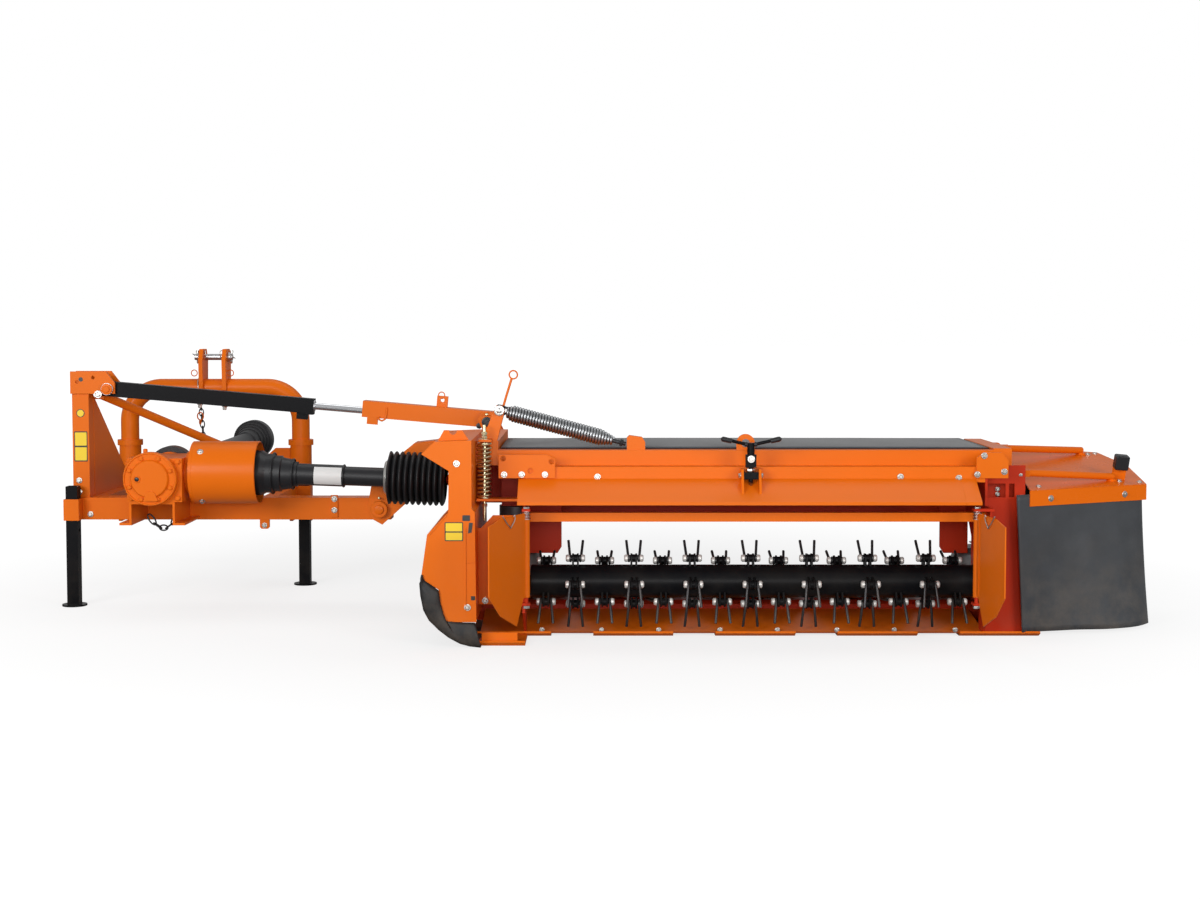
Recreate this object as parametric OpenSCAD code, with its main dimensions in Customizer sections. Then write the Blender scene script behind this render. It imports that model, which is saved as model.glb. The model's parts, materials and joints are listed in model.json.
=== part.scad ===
// Rear-mounted disc mower with a tine conditioner, standing parked on its two
// support feet and its skid shoes. Sizes are in millimetres. Inside place() the
// axes are: x across the machine from the middle of the hitch, y forwards from
// the lower link pins, z up from the ground.

/* [Hitch] */
// Distance between the shoulders of the lower link pins
pin_span = 825; // [780:5:860]
// Diameter of the lower link pins
pin_d = 28; // [22:0.5:34]
// Length of each lower link pin outside its shoulder
pin_len = 88; // [60:1:110]
// Height of the lower link pins above the ground
pin_z = 279; // [260:1:300]
// Height of the top link pin above the lower ones
mast_h = 610; // [590:5:660]
// Diameter of the top link pin
top_pin_d = 25; // [19:0.5:32]
// Clear gap between the two ears of the top link
ear_gap = 75; // [50:1:90]
// Width of the arch between the middles of its legs
arch_w = 676; // [640:2:700]
// Diameter of the arch tube
arch_d = 70; // [50:1:76]
// Wall of the arch tube
arch_wall = 6; // [3:0.5:10]
// Height of the middle of the arch's top tube
arch_z = 768; // [740:1:790]
// Radius of the arch's bends
arch_bend = 130; // [100:5:200]
// Outer diameter of the sockets that hold the arch's legs
socket_d = 84; // [80:1:96]

/* [Rear frame] */
// Side of the square rear beam
beam_s = 80; // [70:1:90]
// Wall of the rear beam
beam_wall = 6; // [4:0.5:10]
// Distance of the rear beam behind the lower link pins
beam_back = 532; // [500:1:560]
// Left end of the rear beam
beam_left = 397; // [390:1:430]
// Place of the lift pivot to the right of the middle
pivot_x = 724; // [700:1:740]
// Diameter of the lift pivot pin
pivot_d = 40; // [30:1:46]
// Height of the lift pivot
pivot_z = 350; // [340:1:360]
// Side of the square post that carries the cylinder
post_s = 60; // [50:1:70]
// Height of the top of the cylinder bracket
post_top = 849; // [830:1:870]

/* [Stands] */
// Side of the square stand tubes
stand_s = 42; // [30:1:46]
// Height of the stand tubes above the ground
stand_h = 435; // [410:5:480]
// Diameter of the round stand feet
foot_d = 88; // [60:1:110]
// Clearance between a stand and its sleeve
stand_gap = 0.4; // [0.3:0.1:1]

/* [Drive] */
// Distance of the drive line behind the lower link pins
drive_back = 690; // [685:1:700]
// Height of the gearbox output shaft
drive_z = 493; // [485:1:500]
// Radius of the round guard on the gearbox
guard_r = 111; // [105:1:114]
// Radius of the drive shaft's outer guard tube
tube_r = 38.5; // [36:0.5:42]
// Largest radius of the rubber bellows
bellows_r = 95; // [80:1:98]
// Diameter of the input shaft's guard cones
cone_d = 168; // [140:1:180]

/* [Lift cylinder] */
// Height of the cylinder's fixed pin
ram_pin_z = 785; // [775:1:795]
// Width of the box-shaped barrel
ram_w = 50; // [40:1:56]
// Depth of the box-shaped barrel
ram_h = 54; // [40:1:60]
// Length of the barrel in front of its pin
ram_len = 745; // [730:1:760]
// Diameter of the chromed rod
rod_d = 25; // [20:1:32]
// Length of the channel over the rod
channel_len = 455; // [400:5:480]

/* [Cutter bar] */
// Number of cutting discs
discs = 5; // [5:1:5]
// Distance between neighbouring discs
disc_pitch = 400; // [396:1:410]
// Diameter of a disc without its blades
disc_d = 376; // [340:2:384]
// Diameter of the circle that the blade tips cut
cut_d = 460; // [440:2:464]
// Place of the first disc to the right of the middle
disc_x = 1232; // [1225:1:1240]
// Distance of the discs behind the lower link pins
disc_back = 855; // [850:1:858]
// Top of the flat gear case of the bar
bar_z = 78; // [70:1:80]

/* [Conditioner] */
// Distance of the rotor behind the lower link pins
rotor_back = 1200; // [1195:1:1210]
// Height of the rotor's middle
rotor_z = 181; // [178:1:190]
// Diameter of the rotor tube
rotor_d = 108; // [90:1:120]
// Radius that the tine tips reach
tine_r = 137; // [125:1:140]
// Diameter of a tine
tine_d = 9; // [6:0.5:12]
// Distance between neighbouring rows of tines
tine_pitch = 95.6; // [80:0.1:98]
// Number of rows of tines along the rotor
tine_rows = 15; // [3:2:15]

/* [Covers] */
// Thickness of the sheet steel
sheet = 4; // [3:0.5:6]
// Height of the top of the conditioner's frame
hood_z = 600; // [590:1:610]
// Thickness of the rubber and canvas pieces
cloth = 6; // [4:0.5:8]
// Length of a swath deflector
deflector_len = 265; // [200:5:280]
// Diameter of the deflectors' hinge pins
deflector_pin_d = 12; // [8:1:14]
// Width of the outer guard's panel
guard_w = 445; // [400:5:460]
// Diameter of the two tubes that carry the outer guard
guard_arm_d = 24; // [16:1:26]
// Diameter of the outer guard's hinge bolts
guard_pin_d = 16; // [10:1:20]
// Outer diameter of the upright spring
spring_d = 48; // [40:1:50]
// Outer diameter of the long tension spring
long_spring_d = 56; // [40:1:60]

/* [Hidden] */
$fn = 48;

// Colours
orange = [0.92, 0.38, 0.06];
deep_red = [0.45, 0.05, 0.04];
black = [0.05, 0.05, 0.055];
dark_grey = [0.2, 0.21, 0.23];
steel = [0.62, 0.63, 0.65];
zinc = [0.78, 0.72, 0.5];

// Clearances
slip = 0.3;
running = 0.05;
clear = 5;

// Places that several pieces share
pin_half = pin_span / 2;
top_pin_z = pin_z + mast_h;
leg_x = arch_w / 2;
arm_w = 50;
arm_x = leg_x - 23;
brace_d = 32;
beam_y = -beam_back;
beam_rear = beam_y - beam_s / 2;
beam_front = beam_y + beam_s / 2;
beam_right = pivot_x + beam_s / 2 - 1;
beam_low = pivot_z - beam_s / 2;
beam_high = pivot_z + beam_s / 2;
post_x = -beam_left + 33;
ram_pin_x = post_x + 102;
ram_pin_d = 30;
ram_plate = 10;
drive_y = -drive_back;
joint_x = 260;
head_x = 1000;
head_z = drive_z - 27;
drive_tilt = atan2(drive_z - head_z, head_x - joint_x);
drive_len = norm([head_x - joint_x, drive_z - head_z]);
rod_eye_x = 1113;
rod_eye_z = 667;
ram_tilt = atan2(ram_pin_z - rod_eye_z, rod_eye_x - ram_pin_x);
ram_reach = norm([rod_eye_x - ram_pin_x, ram_pin_z - rod_eye_z]);
disc_y = -disc_back;
disc_last = disc_x + (discs - 1) * disc_pitch;
rotor_y = -rotor_back;
rotor_x0 = disc_x + 115;
plate_left = rotor_x0 - 65;
plate_right = rotor_x0 + (tine_rows - 1) * tine_pitch + 85;
bar_left = disc_x - 200;
bar_right = disc_last + 200;
rail_s = 80;
rail_x = disc_x - 82;
rail_low = hood_z - 40;
rail_high = rail_low + rail_s;
rail_seat = rail_low + rail_s / 2;
hood_front = drive_y + 10;
hood_end = plate_right + 99.6;
beam_rear_face = rotor_y - 50;

// The outer guard's hinge runs forwards and upwards through two bolts
guard_hinge = [hood_end + 30, rotor_y + 44, hood_z - 67];
guard_hinge_tilt = 11.2;
guard_bolt_gap = 300;
// Its panel leans down to the rear and to the outside
guard_corner = [guard_hinge[0] + 27, rotor_y - 12, hood_z - 125];
guard_a = 10.7;
guard_b = 5.1;
guard_side = [221, 458];
guard_front = [582, 612];

// Swath deflectors: hinge distance behind the rotor, and splay of the left and right one
hinge_back = 140;
splay = [23.3, 6.3];
deflector_x = [plate_left + 6, plate_right - 44.4];

// A point of the guard's panel, from its place on the panel and its height above it
function guard_point(x, y, h) = guard_corner + [
    x * cos(guard_b) + y * sin(guard_a) * sin(guard_b) + h * cos(guard_a) * sin(guard_b),
    y * cos(guard_a) - h * sin(guard_a),
    -x * sin(guard_b) + y * sin(guard_a) * cos(guard_b) + h * cos(guard_a) * cos(guard_b),
];

// Height of the panel's underside over a point of the ground
function panel_z(x, y) = guard_corner[2] - (x - guard_corner[0]) * tan(guard_b)
    + (y - guard_corner[1]) * tan(guard_a) / cos(guard_b);

// The record's origin is the middle of the machine's box, on the ground
outer_x = guard_point(guard_w, guard_side[1], sheet)[0];
frame_x = (pin_half + pin_len - outer_x) / 2;
front_reach = 656;
rear_reach = rotor_back + hinge_back + deflector_len * cos(splay[1]) + sheet / 2 * sin(splay[1]);
frame_y = (rear_reach - front_reach) / 2;

module place() {
    translate([frame_x, frame_y, 0])
        children();
}

// Small helpers for shapes that repeat

function unit(v) = v / norm(v);

// Points of a closed outline moved inwards by a wall, for a counterclockwise outline
function inset(p, wall) = [
    for (i = [0 : len(p) - 1])
        let (
            u = unit(p[i] - p[(i + len(p) - 1) % len(p)]),
            v = unit(p[(i + 1) % len(p)] - p[i]),
            n1 = [-u[1], u[0]],
            n2 = [-v[1], v[0]]
        )
        p[i] + wall * (n1 + n2) / (1 + n1 * n2)
];

// A plate whose outline lies in the x-z plane, from y0 towards the front
module plate_xz(points, y0, depth) {
    translate([0, y0 + depth, 0])
        rotate([90, 0, 0])
            linear_extrude(depth)
                polygon(points);
}

// A plate whose outline lies in the y-z plane, from x0 to the right
module plate_yz(points, x0, depth) {
    translate([x0, 0, 0])
        rotate([90, 0, 90])
            linear_extrude(depth)
                polygon(points);
}

// A box given by its two corners
module block(low, high) {
    translate(low)
        cube(high - low);
}

module rod_x(d, x0, x1, y, z) {
    translate([x0, y, z])
        rotate([0, 90, 0])
            cylinder(d = d, h = x1 - x0);
}

module rod_y(d, y0, y1, x, z) {
    translate([x, y0, z])
        rotate([-90, 0, 0])
            cylinder(d = d, h = y1 - y0);
}

// Hitch

module arch_path(r) {
    for (side = [-1, 1]) {
        translate([side * leg_x, 0, pin_z + 27])
            cylinder(r = r, h = arch_z - arch_bend - pin_z - 27);
        translate([side * (leg_x - arch_bend), 0, arch_z - arch_bend])
            rotate([90, 0, side > 0 ? 0 : 180])
                rotate_extrude(angle = 90)
                    translate([arch_bend, 0])
                        circle(r = r);
    }
    rod_x(2 * r, arch_bend - leg_x, leg_x - arch_bend, 0, arch_z);
}

module mast_arch() {
    color(orange)
        difference() {
            arch_path(arch_d / 2);
            arch_path(arch_d / 2 - arch_wall);
        }
}

module arch_sockets() {
    color(orange)
        for (side = [-1, 1])
            translate([side * leg_x, 0, 0])
                difference() {
                    union() {
                        translate([0, 0, pin_z + 21])
                            cylinder(d = socket_d, h = 257);
                        translate([0, 0, pin_z + 262])
                            cylinder(d = socket_d + 14, h = 22);
                    }
                    translate([0, 0, pin_z + 27])
                        cylinder(d = arch_d + 2 * slip, h = 300);
                }
}

module lower_brackets() {
    color(orange)
        for (side = [-1, 1])
            difference() {
                union() {
                    block([side * leg_x - 42, -45, pin_z + 11], [side * leg_x + 42, 45, pin_z + 21]);
                    for (x = [side * leg_x - 42, side * leg_x + 30])
                        plate_yz([
                            [-45, pin_z + 11], [-30, pin_z - 38], [30, pin_z - 38], [45, pin_z + 11],
                        ], x, 12);
                }
                rod_x(pin_d + 2 * running, side * leg_x - 50, side * leg_x + 50, 0, pin_z);
            }
}

module lower_link_pins() {
    color(steel)
        for (side = [-1, 1])
            mirror([side < 0 ? 1 : 0, 0, 0])
                difference() {
                    union() {
                        rod_x(pin_d, leg_x - 52, pin_half + pin_len, 0, pin_z);
                        rod_x(58, leg_x + 42, pin_half, 0, pin_z);
                        rod_x(46, leg_x - 56, leg_x - 42, 0, pin_z);
                    }
                    translate([pin_half + pin_len - 20, 0, pin_z - 20])
                        cylinder(d = 11, h = 40);
                }
}

module top_link_ears() {
    ear = 16;
    color(orange)
        difference() {
            for (side = [-1, 1])
                plate_yz([
                    [-46, arch_z - 8], [-52, top_pin_z - 10], [-30, top_pin_z + 32],
                    [30, top_pin_z + 32], [52, top_pin_z - 10], [46, arch_z - 8],
                ], side > 0 ? ear_gap / 2 : -ear_gap / 2 - ear, ear);
            rod_x(top_pin_d + 2 * running, -ear_gap, ear_gap, 0, top_pin_z);
            rod_x(arch_d + 2 * slip, -ear_gap, ear_gap, 0, arch_z);
        }
}

module top_link_pin() {
    color(steel)
        difference() {
            union() {
                rod_x(top_pin_d, -ear_gap / 2 - 40, ear_gap / 2 + 34, 0, top_pin_z);
                rod_x(top_pin_d + 14, ear_gap / 2 + 17, ear_gap / 2 + 27, 0, top_pin_z);
            }
            translate([-ear_gap / 2 - 30, 0, top_pin_z - 20])
                cylinder(d = 9, h = 40);
        }
}

// Rear frame

module side_arms() {
    color(orange)
        for (side = [-1, 1])
            difference() {
                block([side * arm_x - arm_w / 2, beam_front, beam_low],
                    [side * arm_x + arm_w / 2, 0, beam_high]);
                translate([side * leg_x, 0, 0])
                    cylinder(d = socket_d + 2 * slip, h = arch_z);
            }
}

module main_beam() {
    w = beam_wall;
    color(orange)
        difference() {
            union() {
                difference() {
                    block([-beam_left, beam_rear, beam_low], [beam_right, beam_front, beam_high]);
                    block([-beam_left + w, beam_rear + w, beam_low + w],
                        [beam_right - w, beam_front - w, beam_high - w]);
                }
                rod_y(pivot_d + 22, beam_rear - 6, beam_front + 6, pivot_x, pivot_z);
                // Stop plate for the raised arm
                block([pivot_x - 179, beam_rear - 6, beam_low + 10],
                    [pivot_x - 154, beam_rear, beam_high + 10]);
            }
            rod_y(pivot_d + 2 * running, beam_rear - 20, beam_front + 20, pivot_x, pivot_z);
        }
}

module beam_post() {
    half = post_s / 2;
    color(orange) {
        difference() {
            union() {
                difference() {
                    block([post_x - half, beam_y - half, beam_high],
                        [post_x + half, beam_y + half, post_top - 60]);
                    block([post_x - half + 5, beam_y - half + 5, beam_high + 10],
                        [post_x + half - 5, beam_y + half - 5, post_top - 70]);
                }
                for (y = [beam_y - half - ram_plate, beam_y + half])
                    plate_xz([
                        [post_x - half - 3, post_top - 81], [post_x + half + 8, post_top - 81],
                        [ram_pin_x + 26, ram_pin_z - 17], [ram_pin_x + 26, ram_pin_z + 22],
                        [ram_pin_x - 6, post_top], [post_x - half - 3, post_top],
                    ], y, ram_plate);
            }
            rod_y(ram_pin_d + 2 * running, beam_y - half - 20, beam_y + half + 20, ram_pin_x, ram_pin_z);
            for (hole = [[post_x - 8, post_top - 38], [post_x + 50, post_top - 22]])
                rod_y(13, beam_y - half - 20, beam_y + half + 20, hole[0], hole[1]);
        }
    }
}

module gusset_plates() {
    socket_edge = leg_x - socket_d / 2 - slip;
    arm_edge = arm_x - arm_w / 2;
    color(orange) {
        plate_yz([
            [beam_y + post_s / 2, beam_high], [-socket_d / 2 - slip, beam_high],
            [-socket_d / 2 - slip, beam_high + 30], [beam_y + post_s / 2, post_top - 90],
        ], -leg_x - 5, 10);
        plate_xz([
            [leg_x - 150, pin_z + 82], [arm_edge, pin_z + 40], [arm_edge, beam_high],
            [socket_edge, beam_high], [socket_edge, pin_z + 250], [leg_x - 100, pin_z + 250],
            [leg_x - 150, pin_z + 205],
        ], -5, 10);
    }
}

// The brace runs from the post's bracket to the plate on the right leg
brace_from = [post_x + 36, beam_y + post_s / 2 + ram_plate, post_top - 80];
brace_to = [leg_x - 118, -5, pin_z + 176];

module diagonal_brace() {
    run = brace_to - brace_from;
    length = norm(run);
    lean = run[1] / length;
    trim = brace_d / 2 * sqrt(1 - lean * lean) / lean + 1;
    tab = 10;
    color(orange) {
        translate(brace_from)
            rotate([0, acos(run[2] / length), atan2(run[1], run[0])])
                difference() {
                    translate([0, 0, trim])
                        cylinder(d = brace_d, h = length - 2 * trim);
                    translate([0, 0, trim + tab])
                        cylinder(d = brace_d - 8, h = length - 2 * trim - 2 * tab);
                }
        block([-leg_x + 5 + slip, brace_from[1], brace_from[2] - 24], brace_from + [30, tab, 24]);
        block(brace_to - [24, tab, 24], brace_to + [20, 0, 24]);
    }
}

sleeve_s = stand_s + 2 * stand_gap + 12;
left_stand = [-beam_left + 13, beam_rear - sleeve_s / 2];
right_stand = [arm_x + arm_w / 2 + sleeve_s / 2, -95];

module stand_sleeves() {
    hole = stand_s + 2 * stand_gap;
    color(orange)
        for (at = [left_stand, right_stand])
            translate([at[0], at[1], beam_low + 2])
                difference() {
                    translate([-sleeve_s / 2, -sleeve_s / 2, 0])
                        cube([sleeve_s, sleeve_s, beam_s - 3]);
                    translate([-hole / 2, -hole / 2, -1])
                        cube([hole, hole, beam_s]);
                }
}

module stand(at) {
    color(orange)
        translate([at[0], at[1], 0]) {
            cylinder(d = foot_d, h = 6);
            difference() {
                translate([-stand_s / 2, -stand_s / 2, 6])
                    cube([stand_s, stand_s, stand_h - 6]);
                translate([-stand_s / 2 + 4, -stand_s / 2 + 4, 10])
                    cube([stand_s - 8, stand_s - 8, stand_h]);
                for (z = [stand_h - 60, stand_h - 160])
                    translate([-stand_s, 0, z])
                        rotate([0, 90, 0])
                            cylinder(d = 13, h = 2 * stand_s);
            }
        }
}

// Gearbox and its guard

gear_x0 = -133;
gear_x1 = 59;
gear_y0 = drive_y - 110;
gear_y1 = drive_y + 130;
seat_top = drive_z - 95;

module gearbox_seat() {
    x = -47;
    color(orange)
        plate_xz([
            [x - 115, beam_low + 6], [x + 115, beam_low + 6], [x + 115, beam_low + 14],
            [x + 80, beam_low + 14], [x + 80, seat_top], [x - 80, seat_top], [x - 80, beam_low + 14],
            [x - 115, beam_low + 14],
        ], gear_y0, beam_rear - gear_y0);
}

stub_d = 46;
stub_len = 36;
cross_d = 20;

module along_shaft() {
    run = shaft_to - shaft_from;
    translate(shaft_from)
        rotate([0, acos(run[2] / norm(run)), atan2(run[1], run[0])])
            children();
}

module gearbox() {
    mid = -47;
    face = gear_x1 + 19;
    color(orange) {
        block([gear_x0, gear_y0, seat_top], [gear_x1, gear_y1, drive_z + 58]);
        rod_y(188, gear_y0 - 24, gear_y0, mid, drive_z - 12);
        rod_y(120, gear_y0 - 34, gear_y0 - 24, mid, drive_z - 12);
        rod_y(130, gear_y1, gear_y1 + 26, mid, drive_z - 3);
        rod_x(150, gear_x1, face, drive_y, drive_z);
        for (z = [seat_top + 30 : 34 : drive_z + 40])
            block([gear_x0 - 10, gear_y0 + 20, z], [gear_x0, gear_y1 - 20, z + 7]);
    }
    // Input stub, and the output stub with the cross of its joint
    color(steel) {
        along_shaft()
            translate([0, 0, -44])
                cylinder(d = stub_d, h = 44 + stub_len);
        rod_x(36, face, joint_x - 12, drive_y, drive_z);
        rod_y(44, drive_y - 26, drive_y + 26, joint_x, drive_z);
        rod_y(cross_d, drive_y - 44, drive_y + 44, joint_x, drive_z);
    }
}

module drive_guard() {
    x0 = gear_x1 + 19;
    color(orange)
        difference() {
            rod_x(2 * guard_r, x0, x0 + 232, drive_y, drive_z);
            rod_x(2 * guard_r - 8, x0 + 5, x0 + 240, drive_y, drive_z);
            rod_x(90, x0 - 5, x0 + 20, drive_y, drive_z);
        }
}

// The input shaft hangs below the arch, from the gearbox forwards
shaft_from = [-47, gear_y1 + 34, drive_z - 3];
shaft_to = [26, 650, 519];
module input_shaft() {
    length = norm(shaft_to - shaft_from);
    r = cone_d / 2;
    color(black)
        along_shaft()
            difference() {
                rotate_extrude()
                    polygon([
                        [0, 0], [r, 0], [r, 40], [r - 8, 44], [r - 12, 62], [r - 16, 62], [r - 20, 80],
                        [r - 24, 80], [r - 30, 104], [r - 34, 104], [44, 150], [tube_r, 156],
                        [tube_r, length - 156], [44, length - 150], [r - 34, length - 104],
                        [r - 30, length - 104], [r - 24, length - 80], [r - 20, length - 80],
                        [r - 16, length - 62], [r - 12, length - 62], [r - 8, length - 44],
                        [r, length - 40], [r, length], [r - 5, length], [r - 5, length - 38],
                        [40, length - 38], [40, length - 110], [0, length - 110],
                    ]);
                translate([0, 0, -1])
                    cylinder(d = stub_d + 2 * slip, h = stub_len + 1 + slip);
            }
}

module hinge_pins() {
    half = post_s / 2;
    color(steel) {
        difference() {
            union() {
                rod_y(pivot_d, beam_rear - 36, beam_front + 30, pivot_x, pivot_z);
                rod_y(pivot_d + 18, beam_rear - 36, beam_rear - 22, pivot_x, pivot_z);
            }
            rod_x(9, pivot_x - 40, pivot_x + 40, beam_front + 24, pivot_z);
        }
        rod_y(ram_pin_d, beam_y - half - ram_plate - 8, beam_y + half + ram_plate + 14, ram_pin_x, ram_pin_z);
        rod_y(ram_pin_d + 14, beam_y - half - ram_plate - 8, beam_y - half - ram_plate, ram_pin_x, ram_pin_z);
    }
}

// Lift cylinder, drawn along +x from its fixed pin and then tilted

module along_ram() {
    translate([ram_pin_x, beam_y, ram_pin_z])
        rotate([0, ram_tilt, 0])
            children();
}

module lift_barrel() {
    color(black)
        along_ram()
            difference() {
                union() {
                    block([-34, -ram_w / 2, -ram_h / 2], [ram_len - 45, ram_w / 2, ram_h / 2]);
                    block([ram_len - 45, -ram_w / 2, -ram_h / 2 - 4], [ram_len, ram_w / 2, ram_h / 2]);
                    block([ram_len - 60, -12, -ram_h / 2 - 24], [ram_len - 20, 12, -ram_h / 2]);
                }
                translate([0, -ram_w, 0])
                    rotate([-90, 0, 0])
                        cylinder(d = ram_pin_d + 2 * running, h = 2 * ram_w);
                rod_x(rod_d + 2 * running, 60, ram_len + 5, 0, 0);
            }
}

eye_r = 24;
module lift_rod() {
    color(steel)
        along_ram() {
            rod_x(rod_d, ram_len - 72, ram_reach - 20, 0, 0);
            translate([ram_reach, -30, 0])
                rotate([-90, 0, 0])
                    cylinder(r = eye_r, h = 60);
            translate([ram_reach, -36, 0])
                rotate([-90, 0, 0])
                    cylinder(r = 14, h = 72);
            block([ram_reach - eye_r - 24, -18, -18], [ram_reach - 15, 18, 18]);
        }
}

module lift_channel() {
    inner = ram_w / 2 + clear;
    top = ram_h / 2 + clear;
    x0 = ram_reach - channel_len;
    x1 = ram_reach + eye_r + 2;
    color(orange)
        along_ram()
            difference() {
                union() {
                    block([x0, -inner - 5, -22], [x1 + 6, inner + 5, top + 5]);
                    block([x0 + 265, -8, top + 5], [x0 + 305, 8, top + 45]);
                    block([x0 + 20, -inner - 5, -46], [x0 + 60, -inner, -22]);
                }
                block([x0 - 5, -inner, -60], [x1, inner, top]);
                translate([ram_reach, -50, 0])
                    rotate([-90, 0, 0])
                        cylinder(r = 14 + running, h = 100);
                translate([x0 + 285, -20, top + 30])
                    rotate([-90, 0, 0])
                        cylinder(d = 15, h = 40);
            }
}

// Drive shaft to the mower, drawn along +x from its first joint and then tilted

module along_drive() {
    translate([joint_x, drive_y, drive_z])
        rotate([0, drive_tilt, 0])
            children();
}

outer_end = 355;
inner_r = tube_r - 4.5;
module drive_tube_outer() {
    fork = 15;
    fork_y = 27;
    color(black)
        along_drive()
            difference() {
                turned_x_solid([
                    [40, 0], [40, 80], [60, 80], [78, 70], [100, 70], [104, 64], [130, 64], [134, 58],
                    [170, 52], [172, tube_r + 6], [186, tube_r + 6], [186, tube_r],
                    [outer_end, tube_r], [outer_end, 0],
                ]);
                rod_x(144, 35, 56, 0, 0);
                rod_x(2 * inner_r + 2 * slip, 44, outer_end + 5, 0, 0);
            }
    // Fork on the cross of the joint
    color(steel)
        along_drive()
            difference() {
                for (y = [-fork_y - fork, fork_y]) {
                    translate([0, y, 0])
                        rotate([-90, 0, 0])
                            cylinder(r = 21, h = fork);
                    block([0, y, -21], [60, y + fork, 21]);
                }
                translate([0, -60, 0])
                    rotate([-90, 0, 0])
                        cylinder(d = cross_d + 2 * running, h = 120);
                rod_x(2 * inner_r + 2 * slip, 44, 80, 0, 0);
            }
}

// A turned solid about the x axis, from points given as length and radius
module turned_x_solid(points) {
    rotate([0, 90, 0])
        rotate_extrude()
            polygon([for (p = points) [p[1], p[0]]]);
}

yoke_len = 58;
yoke_end = drive_len - 52;
module drive_tube_inner() {
    color(black)
        along_drive()
            rod_x(2 * inner_r, drive_len - 420, yoke_end - yoke_len, 0, 0);
    color(steel)
        along_drive()
            rod_x(70, yoke_end - yoke_len, yoke_end, 0, 0);
}

bellows_len = 222;
ribs = 9;
module drive_bellows() {
    x1 = drive_len - 20;
    x0 = x1 - bellows_len;
    step = (bellows_len - 12) / ribs;
    deep = bellows_r - 13;
    wall = 7;
    color(black)
        along_drive()
            difference() {
                turned_x_solid(concat(
                    [[x0, 0]],
                    [[x0, deep - 20], [x0 + 6, deep]],
                    [for (i = [0 : ribs - 1], k = [0 : 2])
                        [x0 + 6 + step * (i + [0.12, 0.5, 0.88][k]), [deep, bellows_r, deep][k]]],
                    [[x1 - 6, deep], [x1, deep], [x1, 0]]
                ));
                rod_x(2 * (tube_r + clear), x0 - 5, x0 + 20, 0, 0);
                rod_x(2 * (deep - wall), x0 + 8, x1 - 60, 0, 0);
                rod_x(2 * (deep - wall), x1 - 46, x1 + 10, 0, 0);
                rod_x(70 + 2 * slip, x1 - 70, x1, 0, 0);
            }
}

// Mower head

arm_front = beam_front + 6 + slip;
arm_rear = beam_rear - 6 - slip;
module swing_arm() {
    fork = 10;
    half = rail_s / 2;
    color(orange)
        difference() {
            union() {
                plate_xz([
                    [pivot_x + 82, pivot_z + 42], [1040, rail_low - 40], [rail_x, rail_low - 40],
                    [rail_x + half, rail_low], [rail_x - half, rail_low], [rail_x - half, rail_seat],
                    [940, rail_seat], [851, rail_low + 30], [pivot_x + 38, pivot_z + 155],
                ], beam_y - 40, 80);
                for (y = [arm_rear - fork, arm_front])
                    plate_xz([
                        [pivot_x + 9, pivot_z - 57], [pivot_x + 89, pivot_z + 15], [1040, rail_low],
                        [1040, rail_low + 30], [851, rail_low + 30], [pivot_x - 24, pivot_z + 118],
                        [pivot_x - 44, pivot_z + 10], [pivot_x - 30, pivot_z - 35],
                    ], y, fork);
                for (y = [arm_rear - fork, beam_y + 40])
                    block([pivot_x + 110, y, pivot_z + 120], [pivot_x + 240, y + 17, pivot_z + 160]);
            }
            rod_y(pivot_d + 2 * running, arm_rear - 40, arm_front + 40, pivot_x, pivot_z);
        }
}

// Middle of the long spring's pin, and places of both springs
anchor = [rail_x + 44, rail_high + 100];
anchor_d = 20;
spring_x = rail_x - 3;
spring_y = rotor_y - 20;
shelf_z = rail_low - 104;
long_spring_y = rotor_y + 30;
lug_x = rail_x + 461;

module headstock() {
    half = rail_s / 2;
    rear = rotor_y + 10;
    front = beam_y + 52;
    notch = beam_y - 51;
    wall = 6;
    inner = half - wall;
    color(orange) {
        // Box rail, lower under the cylinder's eye
        difference() {
            union() {
                block([rail_x - half, rear, rail_low], [rail_x + half, notch, rail_high]);
                block([rail_x - half, rear, rail_low], [rail_x + half, front, rail_seat]);
            }
            block([rail_x - inner, rear + wall, rail_low + wall],
                [rail_x + inner, notch - wall, rail_high - wall]);
            block([rail_x - inner, rear + wall, rail_low + wall],
                [rail_x + inner, front - wall, rail_seat - wall]);
        }
        // Ears on both sides of the cylinder's eye
        for (y = [beam_y - 51, beam_y + 41])
            plate_xz([
                [rail_x - half + 5, rail_seat], [rail_x + half - 5, rail_seat],
                [rod_eye_x + 34, rod_eye_z + 10], [rod_eye_x + 18, rod_eye_z + 32],
                [rod_eye_x - 18, rod_eye_z + 32], [rod_eye_x - 34, rod_eye_z + 10],
            ], y, 10);
        // Lever of two plates that holds the long spring's pin
        for (y = [rear, rear + 32])
            plate_xz([
                [rail_x - 12, rail_high], [rail_x + 36, rail_high],
                [anchor[0] + 17, anchor[1] - 4], [anchor[0] + 10, anchor[1] + 16],
                [anchor[0] - 10, anchor[1] + 16], [anchor[0] - 19, anchor[1] - 2],
            ], y, 8);
        rod_y(anchor_d, rear - 7, rear + 47, anchor[0], anchor[1]);
        // Tab over the upright spring
        difference() {
            block([spring_x - 17, spring_y - 22, rail_high], [spring_x + 24, rear + 4, rail_high + 8]);
            translate([spring_x, spring_y, rail_high - 5])
                cylinder(d = 11 + 2 * slip, h = 20);
        }
    }
}

head_box_x0 = head_x + 112;
module head_gearbox() {
    top = rail_low;
    color(black) {
        block([head_box_x0, drive_y - 80, drive_z - 100], [head_box_x0 + 150, drive_y + 80, top]);
        block([disc_x - 45, disc_y - 90, drive_z - 93], [disc_x + 45, drive_y - 80, drive_z + 10]);
        rod_x(40, head_x + 24, head_box_x0, drive_y, head_z);
        rod_x(90, head_box_x0 - 14, head_box_x0, drive_y, head_z);
        translate([head_x, drive_y, head_z])
            sphere(r = 27);
    }
}

// Cutter bar

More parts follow.
